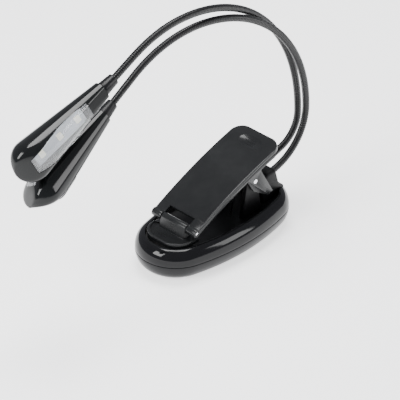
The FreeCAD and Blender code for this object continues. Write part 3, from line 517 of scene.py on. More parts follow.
@dataclass
class Base:
    """The battery base: two casing shells, the posts that carry the clip, and the neck boss."""

    plan: Oval = field(default_factory=Oval)
    split: float = 11.0
    rim: float = 20.5
    floor: float = 15.2
    ceiling: float = 13.6
    rim_inset: float = 6.3
    roll: float = 5.9
    wall: float = 1.6
    groove: float = 0.35
    foot: float = 0.8
    lower_roll: float = 7.0
    roll_steps: int = 18
    seam: float = 0.08
    crest_gap: float = 0.05
    lip: Pair = (0.06, 0.18)
    lip_height: float = 0.4
    post_inner: float = 10.4
    post_thickness: float = 3.0
    post_foot: float = 8.0
    post_radius: float = 4.6
    boss_half: float = 10.5
    boss_front: float = 31.5
    boss_rear: float = 49.5
    boss_above: float = 5.5
    boss_below: float = 5.0
    neck_heading: float = 16.0

    def build(self) -> None:
        """Makes every piece of the base."""
        self.upper_shell()
        self.lower_shell()
        self.posts()
        self.neck_boss()
        self.small_parts()

    def upper_shell(self) -> None:
        """The rolled upper casing with its sunken floor."""
        low = self.split + self.seam
        lip_inset, lip_rise = self.lip
        profile = [(self.wall, self.ceiling), (self.wall, low), (self.groove, low),
                   (lip_inset, low + lip_rise)]
        rise = self.rim - self.crest_gap - (low + self.lip_height)
        profile += self.rolled(self.roll, low + self.lip_height, rise)
        profile += [(self.rim_inset - 0.15, self.rim - 0.12), (self.rim_inset, self.rim - 0.4),
                    (self.rim_inset + 0.05, self.floor + 1.0), (self.rim_inset + 0.3, self.floor + 0.3),
                    (self.rim_inset + 1.0, self.floor)]
        points, faces = loft([self.plan.ring(inset, height) for inset, height in profile])
        shell = new_piece("base_upper_casing", points, faces, GLOSS_BLACK, Shade.BY_ANGLE)
        shell.data.materials.append(RECESS_BLACK.material())
        for face in shell.data.polygons:
            inside = (self.floor - 0.5) * MM < face.center.z < (self.rim - 0.35) * MM
            if inside and self.depth_inside(face.center) > self.rim_inset - 0.38:
                face.material_index = 1
        settle(shell, "base", GLOSS_BLACK, "base_upper_shell")

    def rolled(self, radius: float, start: float, rise: float) -> list[Pair]:
        """The rounded part of a casing's profile: inset and level, from the side wall inwards."""
        turns = [math.pi / 2 * step / self.roll_steps for step in range(self.roll_steps + 1)]
        return [(radius * (1 - math.cos(turn)), start + rise * math.sin(turn)) for turn in turns]

    def depth_inside(self, spot: Vector) -> float:
        """How far a point lies inside the plan's outline, in millimetres."""
        flat = Vector((spot.x, spot.y)) / MM
        return min((Vector((p.x, p.y)) - flat).length for p in self.plan.ring(0.0, 0.0))

    def lower_shell(self) -> None:
        """The shallow lower casing, tucked in under the upper one."""
        top = self.split - self.seam
        lip_inset, lip_drop = self.lip
        profile = [(self.wall + 3.4, self.foot + 1.8), (self.wall, self.foot + 6.0), (self.wall, top),
                   (self.groove, top), (lip_inset, top - lip_drop)]
        drop = top - self.lip_height - self.foot
        profile += self.rolled(self.lower_roll, top - self.lip_height, -drop)
        points, faces = loft([self.plan.ring(inset, height) for inset, height in profile])
        shell = new_piece("base_lower_casing", points, faces, GLOSS_BLACK, Shade.BY_ANGLE)
        self.cut_under(shell)
        settle(shell, "base", GLOSS_BLACK, "base_lower_shell")

    def cut_under(self, shell: bpy.types.Object) -> None:
        """Opens the lower casing for its door, feet, screws and power inlet."""
        door_low, door_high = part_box("battery_door")
        clearance = 0.25 * MM
        opening = block("door_cutter", door_low - Vector((clearance, clearance, 0.002)),
                        door_high + Vector((clearance, clearance, 0.0)))
        carve(shell, opening)
        for spot, radius, depth in self.round_holes():
            carve(shell, disc_block("hole_cutter", spot, radius, -1.0, depth))
        inlet_low, inlet_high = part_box("power_inlet")
        centre = (inlet_low + inlet_high) / 2 / MM
        carve(shell, rod_block("inlet_cutter", Vector((self.plan.length / 2 - 6, centre.y, centre.z)),
                               Vector((self.plan.length / 2 + 2, centre.y, centre.z)), 2.4))

    def round_holes(self) -> list[tuple[Vector, float, float]]:
        """Middle, radius and top of each round hole under the base."""
        holes = []
        for node, radius, depth in (("rubber_feet", 4.15, self.foot + 0.6),
                                    ("base_screws", 2.5, self.foot + 1.4)):
            for spot in island_centres(frame["nodes"][node]):
                holes.append((spot, radius, depth))
        return holes

    def posts(self) -> None:
        """The two ears that carry the clip's pin."""
        centre = pivot("clip_open")
        outline = [(centre.x + self.post_foot, self.floor - 0.3)]
        for step in range(25):
            angle = math.radians(-18 + 216 * step / 24)
            outline.append((centre.x + self.post_radius * math.cos(angle),
                            centre.z + self.post_radius * math.sin(angle)))
        outline.append((centre.x - self.post_foot, self.floor - 0.3))
        for side, tag in ((1, "left"), (-1, "right")):
            inner = self.post_inner * side
            outer = inner + self.post_thickness * side
            rings = [[Vector((x, y, z)) for x, z in outline] for y in (inner, outer)]
            post = new_piece("clip_post_%s" % tag, *loft(rings), RECESS_BLACK, Shade.BY_ANGLE)
            settle(soften(post, 0.35), "base", RECESS_BLACK)

    def neck_boss(self) -> None:
        """The block that holds the two neck ferrules, sloped square to them."""
        root = pivot("arm_a_swing")
        tilt = math.radians(self.neck_heading)
        above = (root.x - self.boss_above * math.sin(tilt), root.z + self.boss_above * math.cos(tilt))
        below = (root.x + self.boss_below * math.sin(tilt), root.z - self.boss_below * math.cos(tilt))
        start = self.floor - 0.3
        outline = [(self.boss_front, start), (self.boss_rear, start), (self.boss_rear, self.rim), below,
                   (root.x, root.z), above, (self.boss_front + 5, above[1] - 0.4),
                   (self.boss_front, above[1] - 3)]
        stations = [-self.boss_half, -self.boss_half + 1.5, 0, self.boss_half - 1.5, self.boss_half]
        rings = []
        for y in stations:
            drop = 1.2 if abs(y) == self.boss_half else 0.0
            rings.append([Vector((x, y, z - (drop if z > self.rim + 1 else 0))) for x, z in outline])
        boss = new_piece("neck_boss", *loft(rings), RECESS_BLACK, Shade.BY_ANGLE)
        settle(soften(boss, 0.6, 3), "base", RECESS_BLACK)

    def small_parts(self) -> None:
        """Dresses the door, feet, screws, cells, board and inlet."""
        door = soften(copy_of("battery_door", "battery_door_panel", MATTE_BLACK), 0.2)
        settle(door, "base", MATTE_BLACK, "battery_door")
        for node, finish in (("rubber_feet", RUBBER_BLACK), ("base_screws", PIN_STEEL),
                             ("battery_cells", CELL_SLEEVE), ("battery_springs", SPRING_STEEL),
                             ("battery_contact_plates", CONTACT_METAL), ("base_circuit_board", BOARD_GREEN),
                             ("power_inlet", INLET_BLACK)):
            finish.dress(frame["nodes"][node])
            LOG.info("%s dressed as %s", node, finish.name)


def block(name: str, low: Vector, high: Vector) -> bpy.types.Object:
    """A plain box between two corners in metres, used only to cut."""
    corners = [Vector((x, y, z)) / MM
               for x in (low.x, high.x) for y in (low.y, high.y) for z in (low.z, high.z)]
    faces = [(0, 1, 3, 2), (4, 6, 7, 5), (0, 4, 5, 1), (2, 3, 7, 6), (0, 2, 6, 4), (1, 5, 7, 3)]
    return new_piece(name, corners, faces, MATTE_BLACK, Shade.FLAT)


def round_ring(spot: Vector, across: Vector, other: Vector, radius: float, sides: int) -> list[Vector]:
    """The points of a circle about a place, on two directions square to each other."""
    turns = [math.tau * k / sides for k in range(sides)]
    return [spot + (across * math.cos(turn) + other * math.sin(turn)) * radius for turn in turns]


def rod_block(name: str, start: Vector, end: Vector, radius: float, sides: int = 40) -> bpy.types.Object:
    """A plain round bar between two points in millimetres, used only to cut."""
    along = (end - start).normalized()
    across = along.orthogonal().normalized()
    other = along.cross(across)
    rings = [round_ring(spot, across, other, radius, sides) for spot in (start, end)]
    return new_piece(name, *loft(rings), MATTE_BLACK, Shade.FLAT)


def disc_block(name: str, spot: Vector, radius: float, bottom: float, top: float) -> bpy.types.Object:
    """An upright round cutter about a place, between two levels in millimetres."""
    return rod_block(name, Vector((spot.x, spot.y, bottom)), Vector((spot.x, spot.y, top)), radius)


def island_centres(node: bpy.types.Object) -> list[Vector]:
    """The middle of each separate solid in a CAD node, in millimetres."""
    work = bmesh.new()
    work.from_mesh(node.data)
    bmesh.ops.remove_doubles(work, verts=work.verts, dist=0.000001)
    left = set(work.verts)
    centres = []
    while left:
        queue = [left.pop()]
        island = []
        while queue:
            corner = queue.pop()
            island.append(corner.co.copy())
            for edge in corner.link_edges:
                other = edge.other_vert(corner)
                if other in left:
                    left.remove(other)
                    queue.append(other)
        low = Vector([min(c[i] for c in island) for i in range(3)])
        high = Vector([max(c[i] for c in island) for i in range(3)])
        centres.append((low + high) / 2 / MM)
    work.free()
    return centres


# ---------------------------------------------------------------- repeated ridges

class RidgeRow:
    """A row of short rounded ridges, placed by a Geometry Nodes tree on the points of a mesh."""

    tree: ClassVar[bpy.types.NodeTree | None] = None

    @classmethod
    def make_tree(cls) -> bpy.types.NodeTree:
        """Builds the tree: a flattened capsule on every point, made real and given its material."""
        if cls.tree:
            return cls.tree
        tree = bpy.data.node_groups.new("RidgeRow", "GeometryNodeTree")
        interface = tree.interface
        interface.new_socket("Geometry", in_out="INPUT", socket_type="NodeSocketGeometry")
        for label, kind in (("Half Length", "NodeSocketFloat"), ("Half Width", "NodeSocketFloat"),
                            ("Height", "NodeSocketFloat"), ("Turn", "NodeSocketRotation"),
                            ("Finish", "NodeSocketMaterial")):
            interface.new_socket(label, in_out="INPUT", socket_type=kind)
        interface.new_socket("Geometry", in_out="OUTPUT", socket_type="NodeSocketGeometry")
        given = tree.nodes.new("NodeGroupInput")
        result = tree.nodes.new("NodeGroupOutput")
        ball = tree.nodes.new("GeometryNodeMeshUVSphere")
        ball.inputs["Segments"].default_value = 16
        ball.inputs["Rings"].default_value = 10
        ball.inputs["Radius"].default_value = 1.0
        shape = tree.nodes.new("ShaderNodeCombineXYZ")
        instance = tree.nodes.new("GeometryNodeInstanceOnPoints")
        real = tree.nodes.new("GeometryNodeRealizeInstances")
        smooth = tree.nodes.new("GeometryNodeSetShadeSmooth")
        paint = tree.nodes.new("GeometryNodeSetMaterial")
        connect(tree, (given, "Half Width", shape, "X"), (given, "Half Length", shape, "Y"),
                (given, "Height", shape, "Z"), (given, "Geometry", instance, "Points"),
                (ball, "Mesh", instance, "Instance"), (given, "Turn", instance, "Rotation"),
                (shape, "Vector", instance, "Scale"), (instance, "Instances", real, "Geometry"),
                (real, "Geometry", smooth, "Geometry"), (smooth, "Geometry", paint, "Geometry"),
                (given, "Finish", paint, "Material"), (paint, "Geometry", result, "Geometry"))
        cls.tree = tree
        return tree

    @classmethod
    def build(cls, name: str, spots: Sequence[Vector], half_length: float, half_width: float, height: float,
              tilt: float, finish: Finish) -> bpy.types.Object:
        """Makes one row.

        Args:
            name: The piece's name.
            spots: The middle of each ridge, in millimetres.
            half_length: Half a ridge's length, across the row.
            half_width: Half its width.
            height: How far it stands up, from its middle.
            tilt: The turn about Y that lays it on its surface, in radians.
            finish: What it is made of.

        Returns:
            The row as one plain mesh.
        """
        piece = new_piece(name, spots, [], finish)
        modifier = piece.modifiers.new("Ridges", "NODES")
        modifier.node_group = cls.make_tree()
        set_inputs(modifier, {"Half Length": half_length * MM, "Half Width": half_width * MM,
                              "Height": height * MM, "Turn": (0.0, tilt, 0.0), "Finish": finish.material()})
        return finished_mesh(piece)


def set_inputs(modifier: bpy.types.Modifier, values: dict[str, object]) -> None:
    """Sets a Geometry Nodes modifier's inputs by their sockets' identifiers."""
    for item in modifier.node_group.interface.items_tree:
        if getattr(item, "in_out", "") == "INPUT" and item.name in values:
            modifier[item.identifier] = values[item.name]


# ---------------------------------------------------------------- clip

@dataclass
class Clip:
    """The spring clip: lever, pins, spring, jaw and grip pads."""

    lever_tilt: float = 21.5
    lever_rise: float = 8.2
    lever_rear: float = 25.8
    lever_front: float = 51.3
    lever_bow: float = 2.4
    thumb_from_end: float = 8.9
    dish_half_length: float = 4.6
    dish_half_width: float = 8.7
    dish_depth: float = 0.75
    half_width: float = 17.4
    thumb_corner: float = 8.0
    notch_depth: float = 7.5
    skin_inset: float = 0.4
    skin_lift: float = 0.03
    skin_depth: float = 1.3
    pocket: ClassVar[tuple[float, float, float]] = (5.8, 22.2, 9.7)
    wire_radius: float = 0.55
    coil_radius: float = 3.4
    coil_half: float = 4.4
    coil_turns: int = 7

    def build(self) -> None:
        """Makes every piece of the clip."""
        self.lever()
        self.jaw()
        self.pads()
        self.spring()
        for node in ("clip_pivot_pin", "jaw_pin"):
            pin = soften(copy_of(node, node + "_rod", PIN_STEEL), 0.25, 3)
            settle(pin, "base" if "pivot" in node else "lever", PIN_STEEL, node)

    def on_lever(self, along: float, across: float, above: float) -> Vector:
        """A point near the lever's top face: along from the pivot towards the thumb end."""
        tilt = math.radians(self.lever_tilt)
        centre = pivot("clip_open")
        return Vector((centre.x + along * math.cos(tilt) - above * math.sin(tilt), across,
                       centre.z + along * math.sin(tilt) + above * math.cos(tilt)))

    def lever(self) -> None:
        """The lever, softened, with a thumb dimple and its ridges."""
        lever = soften(copy_of("clip_lever", "lever_plate", LEVER_GREY), 0.3)
        start, end, half = self.pocket
        carve(lever, self.sheet("pocket_cutter", start, end, lambda x: half, 2.0, 0.0))
        settle(lever, "lever", LEVER_GREY, "clip_lever")
        skin = self.sheet("lever_top_skin", self.notch_depth + 0.6 - self.lever_front,
                          self.lever_rear - self.skin_inset, self.skin_half, self.skin_lift, self.dish_depth)
        settle(skin, "lever", LEVER_GREY)
        middle = self.lever_rear - self.thumb_from_end
        spots = []
        for shift in (-2.0, 0.0, 2.0):
            floor = self.top(middle + shift) - self.dish_depth * (1 - (shift / self.dish_half_length) ** 2)
            spots.append(self.on_lever(middle + shift, 0.0, floor + 0.02))
        row = RidgeRow.build("thumb_ridges", spots, half_length=5.6, half_width=0.38, height=0.3,
                             tilt=-math.radians(self.lever_tilt), finish=LEVER_GREY)
        settle(row, "lever", LEVER_GREY)

    def top(self, along: float) -> float:
        """How far the lever's bowed top lies above the pivot at a distance along it."""
        span = self.lever_front + self.lever_rear
        radius = (span ** 2 / 4 + self.lever_bow ** 2) / (2 * self.lever_bow)
        middle = (self.lever_rear - self.lever_front) / 2
        return self.lever_rise + self.lever_bow - radius + math.sqrt(radius ** 2 - (along - middle) ** 2)

    def skin_half(self, along: float) -> float:
        """Half the lever's width at a distance along it, less the rounded edge."""
        past = max(0.0, along - (self.lever_rear - self.thumb_corner))
        corner = math.sqrt(max(self.thumb_corner ** 2 - past ** 2, 0.0))
        return self.half_width - self.thumb_corner + corner - self.skin_inset

    def sheet(self, name: str, start: float, end: float, half: Callable[[float], float], lift: float,
              sink: float) -> bpy.types.Object:
        """A sheet that follows the lever's bowed top.

        Args:
            name: The piece's name.
            start: Where it starts, along the lever from the pivot.
            end: Where it ends.
            half: Half its width at a distance along the lever.
            lift: How far it stands above the lever's top.
            sink: How deep the oval thumb dish in it is.

        Returns:
            The sheet.
        """
        middle = self.lever_rear - self.thumb_from_end
        columns, rows = 220, 110
        upper, lower = [], []
        for column in range(columns + 1):
            x = start + (end - start) * column / columns
            above, below = [], []
            for row in range(rows + 1):
                y = half(x) * (2 * row / rows - 1)
                reach = ((x - middle) / self.dish_half_length) ** 2 + (y / self.dish_half_width) ** 2
                above.append(self.on_lever(x, y, self.top(x) + lift - sink * max(0.0, 1 - reach)))
                below.append(self.on_lever(x, y, self.top(x) - self.skin_depth))
            upper.append(above)
            lower.append(below)
        return new_piece(name, *slab(upper, lower), LEVER_GREY, Shade.BY_ANGLE)

    def jaw(self) -> None:
        """The hinged jaw plate."""
        jaw = soften(copy_of("clip_jaw", "jaw_plate", JAW_BLACK), 0.25)
        settle(jaw, "jaw", JAW_BLACK, "clip_jaw")

    def pads(self) -> None:
        """The rubber grip pads and the ridges moulded on them."""
        for node, body, facing in (("jaw_grip_pad", "jaw", -1), ("base_grip_pad", "base", 1)):
            RUBBER_BLACK.dress(frame["nodes"][node])
            low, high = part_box(node)
            low, high = low / MM, high / MM
            sunk, side_margin, count = 0.14, 5.0, 5
            level = high.z - sunk if facing > 0 else low.z + sunk
            half = (high.y - low.y) / 2 - side_margin
            spots = [Vector((low.x + (high.x - low.x) * (k + 1) / (count + 1), 0.0, level))
                     for k in range(count)]
            row = RidgeRow.build(node + "_ridges", spots, half_length=half, half_width=0.6, height=0.26,
                                 tilt=0.0, finish=RUBBER_BLACK)
            settle(row, body, RUBBER_BLACK)

    def spring(self) -> None:
        """The torsion spring's coil, wound round the pivot pin."""
        centre = pivot("clip_open")
        steps = self.coil_turns * 28
        route = []
        for step in range(steps + 1):
            angle = math.tau * self.coil_turns * step / steps + math.pi
            across = -self.coil_half + 2 * self.coil_half * step / steps
            route.append(Vector((centre.x + self.coil_radius * math.cos(angle), across,
                                 centre.z + self.coil_radius * math.sin(angle))))
        route.insert(0, Vector((centre.x - 8.6, -self.coil_half, 15.9)))
        wire = new_piece("clip_spring_coil", *sweep(route, self.wire_radius, 10), SPRING_STEEL)
        settle(wire, "base", SPRING_STEEL, "clip_spring")
        SPRING_STEEL.dress(frame["nodes"]["clip_spring_upper_leg"])


def sweep(route: Sequence[Vector], radius: float, sides: int) -> tuple[list[Vector], list[tuple[int, ...]]]:
    """A round wire along a route.

    Args:
        route: The points it follows, in millimetres.
        radius: The wire's radius.
        sides: How many sides it has.

    Returns:
        The points and the faces.
    """
    rings = []
    across = (route[1] - route[0]).orthogonal().normalized()
    for index, spot in enumerate(route):
        before = route[max(index - 1, 0)]
        after = route[min(index + 1, len(route) - 1)]
        along = (after - before).normalized()
        across = (across - along * across.dot(along)).normalized()
        other = along.cross(across)
        rings.append(round_ring(spot, across, other, radius, sides))
    return loft(rings)


# ---------------------------------------------------------------- necks

class RibbedTube:
    """A gooseneck's ribbed skin along a line of points, made by a Geometry Nodes tree."""

    tree: ClassVar[bpy.types.NodeTree | None] = None

    @classmethod
    def make_tree(cls) -> bpy.types.NodeTree:
        """Builds the tree: a tube whose radius swells and shrinks once in every rib."""
        if cls.tree:
            return cls.tree
        tree = bpy.data.node_groups.new("RibbedTube", "GeometryNodeTree")
        interface = tree.interface
        interface.new_socket("Geometry", in_out="INPUT", socket_type="NodeSocketGeometry")
        for label in ("Radius", "Rib Pitch", "Rib Depth", "Step"):
            interface.new_socket(label, in_out="INPUT", socket_type="NodeSocketFloat")
        interface.new_socket("Sides", in_out="INPUT", socket_type="NodeSocketInt")
        interface.new_socket("Finish", in_out="INPUT", socket_type="NodeSocketMaterial")
        interface.new_socket("Geometry", in_out="OUTPUT", socket_type="NodeSocketGeometry")
        given = tree.nodes.new("NodeGroupInput")
        result = tree.nodes.new("NodeGroupOutput")
        curve = tree.nodes.new("GeometryNodeMeshToCurve")
        even = tree.nodes.new("GeometryNodeResampleCurve")
        even.mode = "LENGTH"
        place = tree.nodes.new("GeometryNodeSplineParameter")
        phase = cls.math(tree, "DIVIDE", place.outputs["Length"], given.outputs["Rib Pitch"])
        wave = cls.math(tree, "COSINE", cls.math(tree, "MULTIPLY", phase, math.tau))
        dip = cls.math(tree, "MULTIPLY", cls.math(tree, "SUBTRACT", wave, 1.0), given.outputs["Rib Depth"])
        radius = cls.math(tree, "ADD", cls.math(tree, "MULTIPLY", dip, 0.5), given.outputs["Radius"])
        sized = tree.nodes.new("GeometryNodeSetCurveRadius")
        circle = tree.nodes.new("GeometryNodeCurvePrimitiveCircle")
        circle.inputs["Radius"].default_value = 1.0
        tube = tree.nodes.new("GeometryNodeCurveToMesh")
        tube.inputs["Fill Caps"].default_value = True
        real = tree.nodes.new("GeometryNodeRealizeInstances")
        smooth = tree.nodes.new("GeometryNodeSetShadeSmooth")
        paint = tree.nodes.new("GeometryNodeSetMaterial")
        tree.links.new(radius, sized.inputs["Radius"])
        connect(tree, (given, "Geometry", curve, "Mesh"), (curve, "Curve", even, "Curve"),
                (given, "Step", even, "Length"), (even, "Curve", sized, "Curve"),
                (given, "Sides", circle, "Resolution"), (sized, "Curve", tube, "Curve"),
                (circle, "Curve", tube, "Profile Curve"), (tube, "Mesh", real, "Geometry"),
                (real, "Geometry", smooth, "Geometry"), (smooth, "Geometry", paint, "Geometry"),
                (given, "Finish", paint, "Material"), (paint, "Geometry", result, "Geometry"))
        if "Scale" in tube.inputs:
            connect(tree, (tree.nodes.new("GeometryNodeInputRadius"), "Radius", tube, "Scale"))
        cls.tree = tree
        return tree

    @staticmethod
    def math(tree: bpy.types.NodeTree, operation: str, *terms: object) -> bpy.types.NodeSocket:
        """Adds one Math node fed by sockets or numbers and gives its result."""
        node = tree.nodes.new("ShaderNodeMath")
        node.operation = operation
        for socket, term in zip(node.inputs, terms):
            if isinstance(term, (int, float)):
                socket.default_value = term
            else:
                tree.links.new(term, socket)
        return node.outputs[0]

    @classmethod
    def build(cls, name: str, route: Sequence[Vector], radius: float, pitch: float, depth: float,
              finish: Finish) -> bpy.types.Object:
        """Makes one length of ribbed tube.

        Args:
            name: The piece's name.
            route: The points of its centre line, in millimetres.
            radius: Its radius over the ribs.
            pitch: The length of one rib.
            depth: How deep the groove between ribs is.
            finish: What it is made of.

        Returns:
            The tube as a plain mesh.
        """
        mesh = bpy.data.meshes.new(name)
        mesh.from_pydata([p * MM for p in route], [(k, k + 1) for k in range(len(route) - 1)], [])
        piece = bpy.data.objects.new(name, mesh)
        bpy.context.scene.collection.objects.link(piece)
        modifier = piece.modifiers.new("Ribs", "NODES")
        modifier.node_group = cls.make_tree()
        set_inputs(modifier, {"Radius": radius * MM, "Rib Pitch": pitch * MM, "Rib Depth": depth * MM,
                              "Step": pitch * MM / 4, "Sides": 20, "Finish": finish.material()})
        finished_mesh(piece)
        tidy_mesh(piece.data)
        return piece


@dataclass(frozen=True)
class NeckRoute:
    """One neck's centre line: a straight root, a bend up to the vertical, two long bends, a straight end."""

    arm: str
    root_run: float
    rear_radius: float
    top_radius: float
    top_heading: float
    front_radius: float
    end_heading: float
    end_run: float
    turn: float
    root_heading: float = 16.0
    step: float = 0.25

    def points(self, start_before: float, end_after: float) -> list[Vector]:
        """The centre line as points.

        Args:
            start_before: How far it reaches back into the base from the boss face.
            end_after: How far it reaches into the collar past the last joint.

        Returns:
            The points, in millimetres.
        """
        spot = pivot("arm_%s_swing" % self.arm)
        heading = self.root_heading
        spot = spot - self.direction(heading, 0.0) * start_before
        line = [spot]
        moves = [(start_before + self.root_run, None, 0.0), (self.rear_radius, 90.0, 0.0),
                 (self.top_radius, self.top_heading, self.turn),
                 (self.front_radius, self.end_heading, self.turn),
                 (self.end_run + end_after, None, self.turn)]
        for size, target, turn in moves:
            length = size if target is None else size * math.radians(target - heading)
            count = max(2, round(length / self.step))
            swing = 0.0 if target is None else (target - heading) / count
            for _ in range(count):
                heading += swing / 2
                spot = spot + self.direction(heading, turn) * (length / count)
                heading += swing / 2
                line.append(spot)
        return line

    @staticmethod
    def direction(heading: float, turn: float) -> Vector:
        """The unit vector at a heading above the rear and a turn to the left, in degrees."""
        up, across = math.radians(heading), math.radians(turn)
        return Vector((math.cos(up) * math.cos(across), math.cos(up) * math.sin(across), math.sin(up)))


@dataclass
class Neck:
    """A gooseneck cut into lengths: a length between two joints follows its arm's body, and a length across
    a joint stays where it is built.
    """

    route: NeckRoute
    radius: float = 2.23
    pitch: float = 1.25
    depth: float = 0.22
    bend_reach: float = 15.0
    lean_reach: float = 5.0
    nod_reach: float = 7.0

    def build(self) -> None:
        """Makes the neck's lengths and dresses its ferrule and wires."""
        arm = self.route.arm
        line = self.route.points(0.2, 7.0)
        lengths = [0.0]
        for before, after in zip(line, line[1:]):
            lengths.append(lengths[-1] + (after - before).length)
        marks = {name: self.nearest(line, lengths, pivot(name)) for name in
                 ("arm_%s_lean" % arm, "arm_%s_bend" % arm, "head_%s_nod" % arm)}
        lean, bend, nod = marks.values()
        root, lower, upper, collar = ("arm_%s_root" % arm, "arm_%s_lower" % arm, "arm_%s_upper" % arm,
                                      "collar_%s" % arm)
        cuts = [self.whole(v) for v in (lean + self.lean_reach, bend - self.bend_reach,
                                        bend + self.bend_reach, nod - self.nod_reach)]
        stretches = [("root", 0.0, cuts[0], (root, lower)), ("lower", cuts[0], cuts[1], (lower,)),
                     ("elbow", cuts[1], cuts[2], (lower, upper)), ("upper", cuts[2], cuts[3], (upper,)),
                     ("wrist", cuts[3], lengths[-1], (upper, collar))]
        for name, start, end, bodies in stretches:
            if end - start < self.pitch:
                continue
            self.length("neck_%s_%s_ribs" % (arm, name), line, lengths, start, end, bodies,
                        {"root": lean, "elbow": bend, "wrist": nod}.get(name))
        self.dress_nodes(arm)

    def whole(self, length: float) -> float:
        """The nearest whole number of ribs to a length."""
        return round(length / self.pitch) * self.pitch

    @staticmethod
    def nearest(line: Sequence[Vector], lengths: Sequence[float], spot: Vector) -> float:
        """How far along the line a point lies."""
        return min(zip(line, lengths), key=lambda pair: (pair[0] - spot).length)[1]

    def length(self, name: str, line: Sequence[Vector], lengths: Sequence[float], start: float, end: float,
               bodies: Sequence[str], joint_at: float | None) -> None:
        """Makes one length of ribbed tube and puts it on its body; a length that spans two bodies stays
        where it is built.

        Args:
            name: The piece's name.
            line: The neck's centre line.
            lengths: How far along each of its points is.
            start: Where this length starts.
            end: Where it ends.
            bodies: The body it rides on, or the two that it joins.
            joint_at: How far along the joint between the two is.
        """
        part = [self.at(line, lengths, start)]
        part += [p for p, s in zip(line, lengths) if start + 0.05 < s < end - 0.05]
        part.append(self.at(line, lengths, end))
        piece = RibbedTube.build(name, part, self.radius, self.pitch, self.depth, NECK_BLACK)
        if len(bodies) == 1:
            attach(piece, bodies[0])
        else:
            reach = min(joint_at - start, end - joint_at) * 0.85
            tuple(self.at(line, lengths, joint_at - reach) * MM)
            tuple(self.at(line, lengths, joint_at + reach) * MM)
            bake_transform(piece)
        LOG.info("%s follows %s, %d faces", name, " and ".join(bodies), len(piece.data.polygons))
        if name.endswith("_lower_ribs"):
            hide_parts("neck_%s_lower" % self.route.arm)
        if name.endswith("_upper_ribs"):
            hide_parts("neck_%s_upper" % self.route.arm)

    @staticmethod
    def at(line: Sequence[Vector], lengths: Sequence[float], length: float) -> Vector:
        """The point of the line at a length along it."""
        for index in range(1, len(line)):
            if lengths[index] >= length:
                share = (length - lengths[index - 1]) / (lengths[index] - lengths[index - 1])
                return line[index - 1].lerp(line[index], share)
        return line[-1].copy()

    @staticmethod
    def dress_nodes(arm: str) -> None:
        """Finishes the ferrule, which stays, and the wires inside the neck."""
        node = "neck_%s_ferrule" % arm
        ferrule = soften(copy_of(node, node + "_sleeve", COLLAR_BLACK), 0.15)
        settle(ferrule, "arm_%s_root" % arm, COLLAR_BLACK, "neck_%s_ferrule" % arm)
        for node in ("neck_%s_lower_wires" % arm, "neck_%s_upper_wires" % arm):
            WIRE_RED.dress(frame["nodes"][node])


# ---------------------------------------------------------------- lamp heads

